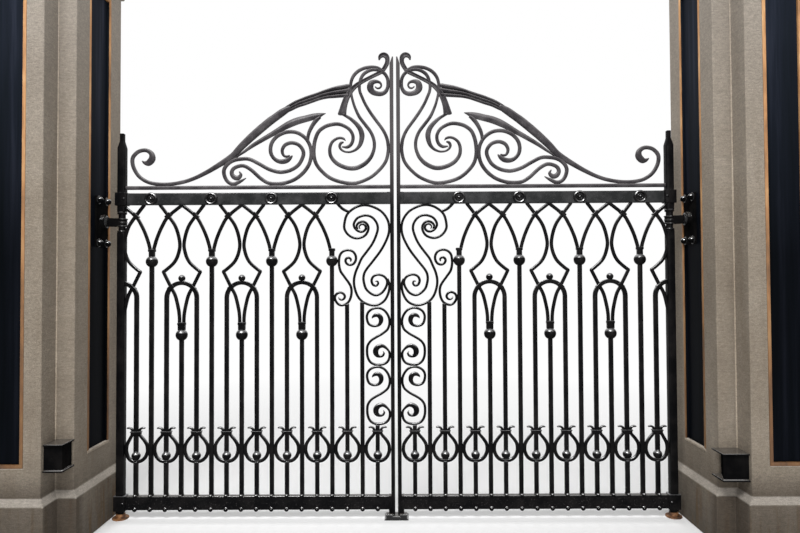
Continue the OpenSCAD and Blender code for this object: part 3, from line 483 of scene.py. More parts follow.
def section(count, power):
    """Points round a section between an ellipse (2) and a square (large)."""
    points = []
    for i in range(count):
        angle = 2 * math.pi * (i + 0.5) / count
        c, s = math.cos(angle), math.sin(angle)
        points.append((math.copysign(abs(c) ** (2 / power), c) / 2,
                       math.copysign(abs(s) ** (2 / power), s) / 2))
    return points


SQUARE = section(16, 9)
ROUNDED = section(16, 2.5)
LYRE_SECTION = section(14, 2.8)
NECK_SECTION = section(16, 2.6)
# Sections of a flat bar with eased edges, of a bar with a ridge, and of a channel hollow on both faces
FLAT = (
    (0.5, -0.36), (0.5, 0.36), (0.40, 0.5), (0.0, 0.5), (-0.40, 0.5), (-0.5, 0.36), (-0.5, -0.36),
    (-0.40, -0.5), (0.0, -0.5), (0.40, -0.5))
RIDGED = (
    (0.5, -0.10), (0.5, 0.10), (0.30, 0.30), (0.07, 0.5), (-0.07, 0.5), (-0.30, 0.30), (-0.5, 0.10),
    (-0.5, -0.10), (-0.30, -0.30), (-0.07, -0.5), (0.07, -0.5), (0.30, -0.30))
HOLLOW = (
    (0.5, -0.42), (0.5, 0.42), (0.40, 0.5), (0.28, 0.42), (0.16, 0.16), (-0.16, 0.16), (-0.28, 0.42),
    (-0.40, 0.5), (-0.5, 0.42), (-0.5, -0.42), (-0.40, -0.5), (-0.28, -0.42), (-0.16, -0.16),
    (0.16, -0.16), (0.28, -0.42), (0.40, -0.5))
# Rounded end of a bar: share of the way along it, and size of the section
BAR_END = ((0.0, 0.55), (0.30, 0.80), (0.70, 0.95))

# Profiles of the turned parts: radius and distance along the axis
DROP_NECK = ((20, 16), (19, 20), (16, 25), (13.5, 31), (9, 33))
FINIAL_NECK = ((13, -3), (13, 2), (10, 5), (8, 9), (8, 14))
FLANGE = ((26, -4), (30, 0), (30.5, 8), (28, 12), (20, 13))
NUT_RIM = ((27, -2), (27, 3), (25, 5), (21, 5.5))
BOSS = ((40, -2), (40, 3), (36, 6.5), (31, 6.5), (28, 3), (24, 3), (21, 7), (14, 9.5), (7, 10.5), (0.4, 11))
# Ring, hollow, inner ring and button
ROSETTE = (
    (42, -2), (42.5, 4), (41.5, 9), (38, 13), (33.5, 14.5), (29, 12.5), (26.5, 7), (25, 1), (21.5, 1),
    (19.5, 6.5), (16.5, 9), (14, 7), (12.5, 3), (10.5, 3), (9.5, 10), (7.5, 14), (3.8, 16.5), (0.4, 17))


def dome(r, h, steps=6):
    """Profile of a rivet's or nut's rounded head."""
    profile = [(r, -1), (r, h * 0.2)]
    for i in range(1, steps + 1):
        a = math.pi / 2 * i / steps
        profile.append((max(r * math.cos(a), 0.4), h * (0.2 + 0.8 * math.sin(a))))
    return profile


def both_ways(profile, way):
    """The same profile along an axis or against it."""
    return [(r, way * along) for r, along in profile]


# Mesh building
class Shape:
    """Closed solids gathered in one mesh, in a leaf's millimetres (u, y, z)."""

    def __init__(self):
        self.verts = []
        self.faces = []

    def skin(self, rings, closed=False):
        """Skin over closed rings of equal length. Its ends are capped, or joined to each other."""
        first = len(self.verts)
        size = len(rings[0])
        count = len(rings)
        for ring in rings:
            self.verts.extend(ring)
        for i in range(count if closed else count - 1):
            for j in range(size):
                a = first + i * size + j
                b = first + i * size + (j + 1) % size
                c = first + (i + 1) % count * size + (j + 1) % size
                d = first + (i + 1) % count * size + j
                self.faces.append((a, b, c, d))
        if not closed:
            self.faces.append(tuple(first + j for j in reversed(range(size))))
            last = first + (count - 1) * size
            self.faces.append(tuple(last + j for j in range(size)))


def forged(point, amount):
    """Small unevenness left by the hammer."""
    p = Vector(point) / 42
    return [q + amount * n for q, n in zip(point, noise.noise_vector(p))]


def heading(line, i):
    """Direction of a line at one of its points."""
    a, b = line[max(i - 1, 0)], line[min(i + 1, len(line) - 1)]
    length = math.hypot(b[0] - a[0], b[1] - a[1])
    return (b[0] - a[0]) / length, (b[1] - a[1]) / length


def sweep(shape, line, depth, outline, tip=3.0, uneven=0.5, y=0, swell=1.0):
    """Bar along a line of [u, z, width] that stands in the leaf's plane."""
    def ring(i, ahead, size):
        u, z, width = line[i]
        along_u, along_z = heading(line, i)
        u += along_u * ahead
        z += along_z * ahead
        thick = (depth(width) if callable(depth) else depth) * size
        wide = width * size * swell
        return [forged((u - along_z * p * wide, y + q * thick, z + along_u * p * wide), uneven)
                for p, q in outline]

    last = len(line) - 1
    caps = BAR_END if tip else ()
    start_tip, end_tip = min(tip, line[0][2] / 2), min(tip, line[last][2] / 2)
    rings = [ring(0, -start_tip * (1 - at), size) for at, size in caps]
    rings += [ring(i, 0, 1) for i in range(last + 1)]
    rings += [ring(last, end_tip * (1 - at), size) for at, size in reversed(caps)]
    shape.skin(rings)


def steps_between(low, high, soft, step):
    """Even steps from one eased end of a bar to the other."""
    length = high - low - 2 * soft
    count = max(2, round(length / step) + 1)
    return [low + soft + length * i / (count - 1) for i in range(count)]


def post(shape, u, z0, z1, w, d, y=0, soft=EASE, step=30, uneven=0.45):
    """Upright bar with eased edges and ends."""
    line = [[u, z, w] for z in steps_between(z0, z1, soft, step)]
    sweep(shape, line, d, SQUARE, soft, uneven, y)


def beam(shape, u0, u1, z0, z1, d, y=0, soft=EASE, step=40, uneven=0.5, power=14):
    """Level bar with eased edges and ends."""
    line = [[u, (z0 + z1) / 2, z1 - z0] for u in steps_between(u0, u1, soft, step)]
    sweep(shape, line, d, section(20, power), soft, uneven, y)


def lath(shape, u, z, y0, y1, w, h, soft=2.0):
    """Level bar from the street towards the garden."""
    rings = []
    for at, size in ((y0, 0.6), (y0 + soft, 1), ((y0 + y1) / 2, 1), (y1 - soft, 1), (y1, 0.6)):
        rings.append([(u + p * w * size, at, z + q * h * size) for p, q in SQUARE])
    shape.skin(rings)


def turned(shape, u, y, z, profile, axis="z", count=24):
    """Solid of revolution round an axis through a point."""
    rings = []
    for radius, along in profile:
        ring = []
        for i in range(count):
            a = 2 * math.pi * i / count
            c, s = radius * math.cos(a), radius * math.sin(a)
            if axis == "z":
                ring.append((u + c, y + s, z + along))
            elif axis == "y":
                ring.append((u + c, y + along, z + s))
            else:
                ring.append((u - along, y + s, z + c))
        rings.append(ring)
    shape.skin(rings)


def hoop_round(shape, u, z, inner, outer, height, ease=1.5):
    """Flange round an upright axis, open in the middle."""
    outline = [(inner, -height / 2), (outer - ease, -height / 2), (outer, -height / 2 + ease),
               (outer, height / 2 - ease), (outer - ease, height / 2), (inner, height / 2)]
    rings = []
    for i in range(FINE):
        a = 2 * math.pi * i / FINE
        rings.append([(u + r * math.cos(a), r * math.sin(a), z + h) for r, h in outline])
    shape.skin(rings, closed=True)


def ball(shape, u, z, r, y=0, count=28, bands=16):
    profile = []
    for i in range(bands + 1):
        a = math.pi * (i / bands - 0.5)
        profile.append((max(r * math.cos(a), 0.4), r * math.sin(a)))
    turned(shape, u, y, z, profile, count=count)


def make(name, maker, side, body, material, stands_for=None):
    """Object from a shape drawn in a leaf's millimetres."""
    shape = Shape()
    maker(shape)
    way = SIDES[side]
    verts = [((PIER_MID_U + way * u) * MM, (GATE_Y + y) * MM, z * MM) for u, y, z in shape.verts]
    mesh = bpy.data.meshes.new(name)
    mesh.from_pydata(verts, [], shape.faces)
    mesh.update()
    bm = bmesh.new()
    bm.from_mesh(mesh)
    bmesh.ops.recalc_face_normals(bm, faces=bm.faces)
    bm.to_mesh(mesh)
    bm.free()
    mesh.validate()
    mesh.shade_smooth()
    mesh.set_sharp_from_angle(angle=math.radians(40))
    mesh.materials.append(material)
    made = bpy.data.objects.new(name, mesh)
    bpy.context.scene.collection.objects.link(made)
    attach(made, body)
    if stands_for:
        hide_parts(stands_for)


def soften(name, width, material):
    """Eases the edges of a carried-over CAD node, by a width in metres, and paints it."""
    thing = frame["nodes"][name]
    weld = thing.modifiers.new("weld", "WELD")
    weld.merge_threshold = 1e-5
    flat = thing.modifiers.new("flat", "DECIMATE")
    flat.decimate_type = "DISSOLVE"
    flat.angle_limit = math.radians(1.0)
    edge = thing.modifiers.new("edge", "BEVEL")
    edge.width = width
    edge.segments = 3
    edge.limit_method = "ANGLE"
    edge.angle_limit = math.radians(30)
    thing.data.materials.clear()
    thing.data.materials.append(material)


# Drawn lines of the scrolls, the same as in the CAD source: u, z and, where it differs, the bar's width.
# DRAWN is the box that a scroll is drawn in, and PLACE the box that it stands in
S_DRAWN = ((7.5, 7.5), (157.5, 383.5))
S_KNOTS = [
    (123, 316, 5), (117, 325, 14), (102, 335, 22), (82, 335, 26), (67, 320, 29), (64, 296, 26),
    (76, 274, 19), (99, 264), (121, 265), (143, 276), (155, 300), (157.5, 332), (144, 361), (116, 379),
    (80, 383.5), (47, 371), (24, 346), (11, 318), (7.5, 292), (11, 265), (24, 238), (58, 211), (93, 192),
    (122, 174), (141, 156), (154, 132), (157.5, 100), (154, 62), (139, 30), (113, 12), (78, 7.5), (42, 14),
    (21, 29), (10, 52), (8, 82), (20, 107, 13), (48, 130, 20), (75, 130, 27), (96, 113, 32), (100, 89, 32),
    (90, 70, 24), (71, 63, 16), (53, 68, 14), (45, 83, 11), (51, 96, 4)]
HEART_DRAWN = ((41.5, 1398.5), (411, 2063.5))
HEART_PLACE = ((PANEL_IN + SCROLL_W / 2, S_Z + 2 * S_H + HEART_GAP + SCROLL_W / 2),
               (picket_u(14) - PICKET / 2, TOP_RAIL[0] - SCROLL_W / 2))
HEART_OUTER = [
    (250, 1908, 8), (258, 1926, 13), (244, 1946), (216, 1955), (190, 1941), (179, 1912), (188, 1880),
    (208, 1858), (240, 1845), (272, 1845), (302, 1858), (329, 1886), (341, 1925), (325, 1996), (286, 2037),
    (240, 2059), (192, 2063.5), (142, 2050), (92, 2021), (56, 1975), (41.5, 1924), (45, 1873), (64, 1822),
    (98, 1761), (144, 1699), (198, 1630), (213, 1588), (210, 1546), (196, 1506), (165, 1476), (129, 1464),
    (92, 1480), (64, 1518), (56, 1556), (74, 1587), (112, 1601), (146, 1590), (160, 1562), (151, 1535),
    (130, 1527, 14), (116, 1540, 13), (120, 1556, 11), (133, 1556, 6)]
HEART_INNER = [
    (236, 1907, 6), (241, 1922, 9), (224, 1937, 12), (203, 1930, 14), (197, 1908), (211, 1891), (234, 1887),
    (257, 1898), (272, 1916), (277, 1936), (267, 1961), (244, 1984), (200, 1996), (158, 1985), (127, 1950),
    (117, 1909), (128, 1863), (154, 1806), (190, 1756), (225, 1709), (246, 1664), (267, 1613), (277, 1562),
    (272, 1512), (252, 1458), (217, 1420), (165, 1398.5), (115, 1402), (73, 1430), (47, 1482), (41.5, 1535),
    (54, 1572)]
BRANCH = [(390, 2080, 18), (350, 2040, 18), (305, 2018, 16)]
SIDE_DRAWN = ((41.5, 1398.5), (403.5, 2063.5))
SIDE_PLACE = (HEART_PLACE[0], (picket_u(14) - PICKET / 2 - SCROLL_W / 2, HEART_PLACE[1][1]))
SIDE_KNOTS = [
    (299, 1690, 8), (297, 1703, 13), (310, 1714), (327, 1709), (333, 1692), (324, 1675), (305, 1666),
    (281, 1673), (265, 1697), (265, 1727), (283, 1755), (317, 1765), (350, 1755), (370, 1731), (376, 1694),
    (375, 1662), (366, 1625), (342, 1590), (311, 1547), (297, 1519), (293, 1485), (300, 1446), (318, 1416),
    (352, 1399), (383, 1407), (403.5, 1440), (396, 1470), (371, 1483), (349, 1476), (338, 1457),
    (346, 1440, 14), (361, 1435, 13), (375, 1442, 10), (379, 1452, 5)]
CREST_DRAWN = ((45, 2206), (1798, 3010))
CREST_PLACE = ((PANEL_IN + CREST_W / 2, THIN_RAIL[1] + CREST_W / 2), (PANEL_OUT, MEETING_TOP))
NECK_KNOTS = [
    (1690, 2364, 6), (1672, 2352, 22), (1648, 2352, 36), (1625, 2378, 38), (1628, 2412, 30),
    (1656, 2434, 24), (1692, 2436, 22), (1728, 2420), (1756, 2380), (1748, 2320), (1708, 2258), (1640, 2218),
    (1542, 2206), (1442, 2216), (1352, 2242, 22), (1262, 2285, 25), (1175, 2336, 30), (1086, 2396, 35),
    (1029, 2456, 40), (940, 2540, 45), (850, 2617, 46), (800, 2654, 44), (750, 2690, 42), (700, 2720, 30)]
RIBS = [
    [(745, 2708, 6), (700, 2737, 14), (650, 2764, 17), (600, 2785, 18), (550, 2802, 18), (500, 2819, 18),
     (450, 2836, 20), (400, 2850, 23), (350, 2859, 25), (300, 2866, 26)],
    [(750, 2692, 10), (700, 2720, 16), (650, 2746, 18), (600, 2765, 18), (550, 2782, 18), (500, 2799, 18),
     (450, 2813, 20), (400, 2822, 23), (350, 2829, 25), (300, 2838, 26)],
    [(735, 2684, 8), (700, 2702, 14), (650, 2727, 17), (600, 2744, 18), (550, 2762, 18), (500, 2779, 18),
     (450, 2790, 20), (400, 2795, 23), (350, 2799, 25), (312, 2803, 26)]]
RIB_WEB = [
    (750, 2692, 36), (700, 2720, 46), (650, 2746, 50), (600, 2765, 52), (550, 2782, 52), (500, 2799, 54),
    (450, 2813, 62), (400, 2823, 72), (350, 2829, 80), (312, 2835, 84)]
LEAF_KNOTS = [
    (1064, 2384, 10), (1000, 2430, 20), (940, 2472, 27), (850, 2525, 32), (800, 2554, 35), (750, 2584, 41),
    (700, 2610, 47), (650, 2630, 48), (600, 2643, 45), (550, 2656, 43), (510, 2666, 34), (480, 2675, 16),
    (464, 2679, 4)]
LEAF_PRONG = [
    (500, 2655, 20), (522, 2638, 28), (548, 2604, 27), (570, 2562, 25), (580, 2528, 22), (582, 2500, 20)]
UPPER_C = [
    (998, 2245, 6), (1042, 2219, 20), (1079, 2206), (1115, 2219), (1138, 2256), (1144, 2298), (1126, 2333),
    (1085, 2363), (1025, 2375), (971, 2372), (912, 2343), (850, 2308), (796, 2289), (751, 2285), (694, 2299),
    (644, 2334), (617, 2384), (612, 2419), (626, 2450), (653, 2473), (694, 2482), (733, 2468),
    (752, 2440, 20), (752, 2413, 18), (740, 2394, 16), (722, 2390, 14), (706, 2397, 8)]
LOWER_C = [
    (1040, 2288, 8), (1030, 2268, 18), (1050, 2247, 28), (1077, 2253, 28), (1092, 2281, 24), (1079, 2310),
    (1042, 2327), (1007, 2327), (966, 2304), (922, 2265), (895, 2241), (850, 2213), (796, 2206), (738, 2211),
    (671, 2235), (617, 2276), (578, 2329), (561, 2384), (561, 2433), (573, 2473), (599, 2514), (644, 2546),
    (694, 2557), (742, 2550), (787, 2527), (819, 2491), (832, 2450), (829, 2411), (812, 2381),
    (785, 2361, 25), (755, 2355, 28), (725, 2362, 29), (702, 2378, 22), (687, 2394, 8)]
TONGUE = [
    (353, 2668, 56), (346, 2705, 46), (336, 2745, 40), (320, 2787, 36), (295, 2829, 31), (259, 2866, 26),
    (217, 2893, 22), (158, 2924, 20), (112, 2947, 22), (84, 2964, 24), (66, 2988, 26), (52, 3015, 28),
    (48, 3042, 31), (54, 3062, 32), (70, 3073, 30), (88, 3070, 26), (100, 3058, 20), (104, 3042, 10)]
LYRE_OUTER = [
    (352, 2453, 8), (320, 2451, 18), (294, 2468, 20), (281, 2500, 20), (283, 2535, 20), (304, 2570, 20),
    (338, 2593, 20), (380, 2607, 21), (428, 2603), (474, 2586), (514, 2550), (539, 2475), (539, 2376),
    (501, 2302), (415, 2234), (283, 2206, 21), (175, 2240, 20), (102, 2299, 20), (59, 2360, 20),
    (45, 2426, 20), (46, 2465, 20), (54, 2509, 20), (79, 2564, 19), (120, 2622, 19), (160, 2678, 19),
    (195, 2736, 18), (217, 2784, 18), (232, 2821, 18), (237, 2853, 18), (234, 2883, 18), (226, 2914, 19),
    (210, 2941, 20), (186, 2960, 20), (157, 2972, 20), (128, 2974, 20), (97, 2967, 20), (67, 2946, 20),
    (50, 2917, 20), (45, 2883, 20), (48, 2849, 21), (63, 2823, 24), (88, 2810, 26), (118, 2811, 28),
    (146, 2822, 33), (163, 2846, 39), (160, 2876, 36), (142, 2891, 27), (118, 2893, 19), (98, 2885, 14),
    (90, 2867, 12), (99, 2851, 11), (116, 2847, 10), (130, 2857, 8)]
LYRE_MIDDLE = [
    (332, 2496, 6), (344, 2508, 14), (368, 2513, 15), (396, 2505, 16), (424, 2479, 18), (436, 2433, 20),
    (427, 2386, 22), (392, 2344, 24), (340, 2317, 25), (291, 2307, 26), (246, 2314, 26), (197, 2342, 25),
    (161, 2383, 22), (141, 2433, 20), (138, 2479, 20), (147, 2520, 20), (167, 2560, 20), (202, 2607, 20),
    (238, 2656, 19), (265, 2714, 17), (281, 2763, 16), (291, 2808, 16), (295, 2853, 17), (293, 2885, 18),
    (285, 2914, 19), (269, 2941, 20), (246, 2963, 20), (217, 2979, 20), (188, 2988, 20), (149, 2991, 20),
    (112, 2984, 20), (78, 2962, 20)]
LYRE_INNER = [
    (345, 2672, 16), (320, 2657, 17), (293, 2639, 20), (257, 2606, 25), (232, 2571, 29), (221, 2535, 31),
    (223, 2500, 28), (235, 2464, 23), (257, 2437, 17), (285, 2422, 13), (312, 2417, 12), (340, 2422, 12),
    (361, 2437, 14), (370, 2457, 16), (362, 2477, 17), (345, 2484, 10)]
# Half of a lyre, from its foot: shares of its half width and of its height, and the bar's width
LYRE_SIDE = [
    (0, 0, 24), (0.43, 0.025, 24), (0.76, 0.12, 24), (0.94, 0.26, 24), (0.96, 0.37, 23), (0.90, 0.5, 23),
    (0.66, 0.64, 22), (0.37, 0.76, 21), (0.275, 0.83, 20), (0.275, 0.895, 18), (0.35, 0.958, 16),
    (0.48, 0.988, 14), (0.62, 0.994, 12.5), (0.74, 0.985, 9)]
# Bars of the tracery, from the top: shares of the pitch and of their height
V_KNOTS = [(0, 1), (0.9, 0.75), (1.31, 0.53), (1.61, 0.30), (1.79, 0.11), (1.87, 0)]
BULGE_KNOTS = [
    (1.46, 1), (0.92, 0.84), (0.42, 0.67), (0.15, 0.445), (0.21, 0.29), (0.48, 0.15), (0.96, 0.045),
    (1.23, 0)]
SPADE_KNOTS = [(1.23, 1), (0.75, 0.71), (0.44, 0.53), (0.23, 0.28), (0.155, 0.12), (0.14, 0)]


def knots(points, width, at, stretch):
    return [[at[0] + p[0] * stretch[0], at[1] + p[1] * stretch[1], p[2] if len(p) > 2 else width]
            for p in points]


def scroll_line(points, width, drawn, placed):
    """Smooth line of a scroll, stretched from the box it is drawn in to the box it stands in."""
    stretch = [(placed[1][i] - placed[0][i]) / (drawn[1][i] - drawn[0][i]) for i in (0, 1)]
    at = [placed[0][i] - drawn[0][i] * stretch[i] for i in (0, 1)]
    return smooth(knots(points, width, at, stretch))


def crest_line(points):
    return scroll_line(points, CREST_W, CREST_DRAWN, CREST_PLACE)


SIDE_LINE = scroll_line(SIDE_KNOTS, SCROLL_W, SIDE_DRAWN, SIDE_PLACE)
HEART_LINE = scroll_line(HEART_OUTER, SCROLL_W, HEART_DRAWN, HEART_PLACE)
HEART_INNER_LINE = scroll_line(HEART_INNER, SCROLL_W, HEART_DRAWN, HEART_PLACE)
BRANCH_LINE = scroll_line(BRANCH, SCROLL_W, HEART_DRAWN, HEART_PLACE)


def bar_depth(plain):
    """Bulbs at the ends of a scroll are thicker than its bar, its drawn-out tips thinner."""
    return lambda width: max(min(plain, width * 1.7), width * 0.92)


def bars(shape, depth, *lines):
    """Forged bars along the lines of a scroll."""
    for line in lines:
        sweep(shape, line, bar_depth(depth), ROUNDED, swell=PAINTED)


def height_under(line, u):
    """Lowest height at which a bar's edges cross the upright line at u."""
    heights = []
    for way in (-1, 1):
        edge = []
        for i, (x, z, width) in enumerate(line):
            along_u, along_z = heading(line, i)
            edge.append((x - along_z * way * width / 2, z + along_u * way * width / 2))
        for a, b in zip(edge, edge[1:]):
            if (a[0] - u) * (b[0] - u) < 0:
                heights.append(a[1] + (b[1] - a[1]) * (u - a[0]) / (b[0] - a[0]))
    return min(heights)


# Stiles and rails
def hinge_stile(shape):
    """Square stile with its journal and flanges, shoulder and knob, pivot pin and corner blocks."""
    low = HINGE_Z - JOURNAL_H / 2
    top = low + JOURNAL_H
    post(shape, HINGE_U, STILE_FOOT, low, HINGE_W, HINGE_W)
    shoulder = HINGE_TOP + SHOULDER_H
    line = [[HINGE_U, z, HINGE_W] for z in range(round(top) + 3, HINGE_TOP, 30)]
    line += [[HINGE_U, HINGE_TOP, HINGE_W], [HINGE_U, shoulder - 1, KNOB_W + 1]]
    line += [[HINGE_U, shoulder + rise, KNOB_W] for rise in (2, KNOB_H / 2, KNOB_H - 3)]
    sweep(shape, line, lambda width: width, SQUARE, 3, 0.45)
    turned(shape, HINGE_U, 0, low, [(JOURNAL_R, -ROOT), (JOURNAL_R, JOURNAL_H + ROOT)], count=FINE)
    turned(shape, HINGE_U, 0, low, FLANGE, count=FINE)
    turned(shape, HINGE_U, 0, top, both_ways(FLANGE, -1), count=FINE)
    turned(shape, HINGE_U, 0, SOCKET_H + PIVOT_GAP, [(PIVOT_R, 0), (PIVOT_R, STILE_FOOT - SOCKET_H)],
           count=FINE)
    for foot, head in (BOTTOM_RAIL, TOP_RAIL):
        post(shape, HINGE_U, foot - BLOCK_LIP, head + BLOCK_LIP, BLOCK_W, BLOCK_D)
        for way in (-1, 1):
            turned(shape, BLOCK_RIVET_U, way * BLOCK_D / 2, (foot + head) / 2,
                   both_ways(dome(*BLOCK_RIVET), way), "y", 16)


def meeting_stile(shape):
    """Upright bar, cut to a point that keeps to the meeting line's side."""
    wide = MEETING_W * PAINTED
    u = PANEL_IN + 0.5 - wide / 2
    post(shape, u, MEETING_FOOT, MEETING_TOP, wide, MEETING_D)
    point_u = u - wide / 2 + POINT_W / 2 + 0.5
    line = [[u, MEETING_TOP - 6, wide], [u, MEETING_TOP, wide], [point_u, MEETING_TOP + POINT_H - 3, POINT_W]]
    sweep(shape, line, MEETING_D - 2, SQUARE, 2, 0.4)


def end_post(shape, place_and_width, low, high, depth):
    u, w = place_and_width
    post(shape, u, low, high, w, depth)


def bottom_rail(shape):
    """Box rail with a row of studs on its upper edges and of rivets along its foot."""
    foot, top = BOTTOM_RAIL
    beam(shape, PANEL_IN - LAP, RAIL_OUT + LAP, foot, top, BOTTOM_RAIL_D)
    end_post(shape, STUB, STUB_FOOT, foot + 6, MEETING_D)
    end_post(shape, BOTTOM_BAND, foot - 2, top + 2, BOTTOM_RAIL_D + 4)
    for k in range(1, BAYS):
        u = picket_u(k)
        for way in (-1, 1):
            face = way * BOTTOM_RAIL_D / 2
            ball(shape, u, top + 1, STUD_R, y=face - way * 2, count=20, bands=12)
            for size, rise, facets in RIVETS:
                turned(shape, u, face, foot + rise, both_ways(dome(*size), way), "y", facets)


def top_rail(shape):
    beam(shape, PANEL_IN - LAP, RAIL_OUT + LAP, *TOP_RAIL, TOP_RAIL_D, power=8)
    end_post(shape, TOP_BAND, TOP_RAIL[0] + 1, TOP_RAIL[1] + 1, TOP_RAIL_D + 5)


def thin_rail(shape):
    beam(shape, PANEL_IN - LAP, PANEL_OUT + LAP, THIN_RAIL[0] - 2, THIN_RAIL[1] + 1, BAR_D, power=2.6)


def rosettes(shape):
    for k in LONG_PICKETS:
        turned(shape, picket_u(k), -TOP_RAIL_D / 2, sum(TOP_RAIL) / 2, both_ways(ROSETTE, -1), "y", FINE)


# Pickets
def rail_picket(shape, k, top):
    """Plain picket that stands on the bottom rail."""
    post(shape, picket_u(k), BOTTOM_RAIL[1] - ROOT, top, PICKET * PAINTED, PICKET)


def ball_picket(shape, k, z, collar_w, band_w):
    """Picket with its ball and the collar on top of it, which has a wider upper band."""
    u = picket_u(k)
    rail_picket(shape, k, z)
    ball(shape, u, z, BALL_R)
    low = z + BALL_TO_COLLAR
    top = low + BALL_COLLAR_H
    post(shape, u, low - ROOT, top - BAND_LIP, collar_w, COLLAR_D + 2, step=15, soft=4)
    post(shape, u, top - BAND_H, top, band_w, COLLAR_D + 2 + BAND_LIP, step=5, soft=3)


def long_pickets(shape):
    for k in LONG_PICKETS:
        ball_picket(shape, k, LONG_BALL_Z, *LONG_COLLAR)


def drop_pickets(shape):
    for k in DROP_PICKETS:
        ball_picket(shape, k, DROP_BALL_Z, *DROP_COLLAR)


def odd_picket(shape, k, top):
    """Upright of an odd picket, from the ball in its lyre, drawn out where it meets the bar."""
    u = picket_u(k)
    post(shape, u, TEAR_Z, top, PICKET * PAINTED, PICKET)
    ball(shape, u, TEAR_Z, TEAR_R)
    turned(shape, u, 0, TEAR_Z, DROP_NECK)


def short_pickets(shape):
    """The three pickets that end under the side scroll, the heart and the S scrolls."""
    odd_picket(shape, 15, height_under(SIDE_LINE, picket_u(15)) + 5)
    rail_picket(shape, 16, height_under(HEART_INNER_LINE, picket_u(16)) + 5)
    odd_picket(shape, 17, S_Z + ROOT)


# Tracery and lyres
def sleeve(shape, u, z, way):
    """Small collar across two bars that meet at a slant."""
    reach = (SLEEVE_L / 2 - EASE) * math.sqrt(0.5)
    line = [[u + end * reach, z - end * way * reach, SLEEVE_W] for end in (-1, 0, 1)]
    sweep(shape, line, COLLAR_D, SQUARE, EASE, 0.4)


def half_pattern(shape, k, way):
    """Ogee bars beside picket k, towards the hinge or the meeting line."""
    u = picket_u(k)
    for points, low, high in ((V_KNOTS, LONG_APEX_Z, TOP_RAIL[0]), (BULGE_KNOTS, KINK_Z, TOP_RAIL[0]),
                              (SPADE_KNOTS, DROP_APEX_Z, KINK_Z)):
        line = smooth(knots(points, OGEE_W, (u, low), (way * PITCH, high - low)))
        sweep(shape, line, BAR_D, ROUNDED, 7, swell=PAINTED)
    for away, z in (HOOP_SLEEVE, CROSS_SLEEVE):
        sleeve(shape, u + way * away, z, way)


def hoop(shape, k, last_angle):
    """Arch over picket k, from the meeting line's side to an angle in degrees: 0 for a whole arch."""
    u = picket_u(k)
    line = [[u - PITCH, HOOP_Z - HOOP_TAIL, PICKET]]
    for angle in range(180, last_angle - 1, -9):
        a = math.radians(angle)
        line.append([u + PITCH * math.cos(a), HOOP_Z + PITCH * math.sin(a), PICKET])
    if last_angle == 0:
        line.append([u + PITCH, HOOP_Z - HOOP_TAIL, PICKET])
    sweep(shape, line, PICKET, SQUARE, 2, swell=PAINTED)


def tracery(shape):
    """Whole patterns round the drop pickets, half of one at the hinge stile, and the odd pickets."""
    half_pattern(shape, 0, -1)
    hoop(shape, 0, 90)
    for k in DROP_PICKETS:
        half_pattern(shape, k, -1)
        half_pattern(shape, k, 1)
        hoop(shape, k, 0)
        turned(shape, picket_u(k), 0, HOOP_TOP, FINIAL_NECK, count=20)
        ball(shape, picket_u(k), FINIAL_Z, FINIAL_R)
    for k in range(1, 14, 2):
        odd_picket(shape, k, HOOP_Z + LAP)


def ring_room(k, way):
    """Half width of a lyre's ring, which has less room beside a stile."""
    u = picket_u(k)
    return min(LYRE_ROOM, (PANEL_OUT - u if way > 0 else u - PANEL_IN) - LYRE_W / 2)


def lyre(shape, k):
    """Ring round the foot of an odd picket, tied by a collar that has a lip."""
    u = picket_u(k)
    foot = LYRE_Z + LYRE_W / 2
    line = []
    for way, half in ((-1, LYRE_SIDE[:0:-1]), (1, LYRE_SIDE)):
        for away, rise, width in half:
            room = LYRE_ROOM if rise > LYRE_NECK else ring_room(k, way)
            line.append([u + way * away * room, foot + rise * (LYRE_H - LYRE_W), width])
    sweep(shape, smooth(line), lambda width: min(LYRE_D, width * 1.5 + 3), LYRE_SECTION, 2)
    rail_picket(shape, k, foot)
    reach = LYRE_COLLAR_REACH
    beam(shape, u - reach, u + reach, LYRE_COLLAR_Z, LYRE_COLLAR_TOP - LYRE_LIP, COLLAR_D, step=12)
    reach += LYRE_LIP
    beam(shape, u - reach, u + reach, LYRE_COLLAR_TOP - LYRE_LIP_H, LYRE_COLLAR_TOP, COLLAR_D + LYRE_LIP,
         step=12, power=4)


def lyres(shape):
    for k in range(1, BAYS, 2):
        lyre(shape, k)


# Scrolls
def s_scrolls(shape):
    """Two S scrolls, one on the other, beside the meeting stile."""
    r = SCROLL_W / 2
    for z in (S_Z, S_Z + S_H - 1):
        corners = ((PANEL_IN + r, z + r), (PANEL_IN + S_W - r, z + S_H - r))
        bars(shape, SCROLL_D, scroll_line(S_KNOTS, SCROLL_W, S_DRAWN, corners))


def heart_scroll(shape):
    bars(shape, SCROLL_D, HEART_LINE, HEART_INNER_LINE)
    sweep(shape, BRANCH_LINE, SCROLL_D, ROUNDED, swell=PAINTED)


def side_scroll(shape):
    bars(shape, SCROLL_D, SIDE_LINE)


def crest_lyre(shape):
    sweep(shape, crest_line(TONGUE), lambda width: max(24, width * 0.62), HOLLOW)
    bars(shape, BAR_D, *map(crest_line, (LYRE_OUTER, LYRE_MIDDLE, LYRE_INNER)))


def crest_scrolls(shape):
    bars(shape, BAR_D, crest_line(UPPER_C), crest_line(LOWER_C))


def swan_neck(shape):
    """The long neck with its three ribs, and the leaf with its prong."""
    sweep(shape, crest_line(NECK_KNOTS), bar_depth(BAR_D), NECK_SECTION, swell=PAINTED)
    for rib in RIBS:
        sweep(shape, crest_line(rib), BAR_D + 4, RIDGED, 2)
    sweep(shape, crest_line(LEAF_KNOTS), lambda width: max(16, width * 0.6), RIDGED)
    sweep(shape, crest_line(LEAF_PRONG), bar_depth(BAR_D), RIDGED)


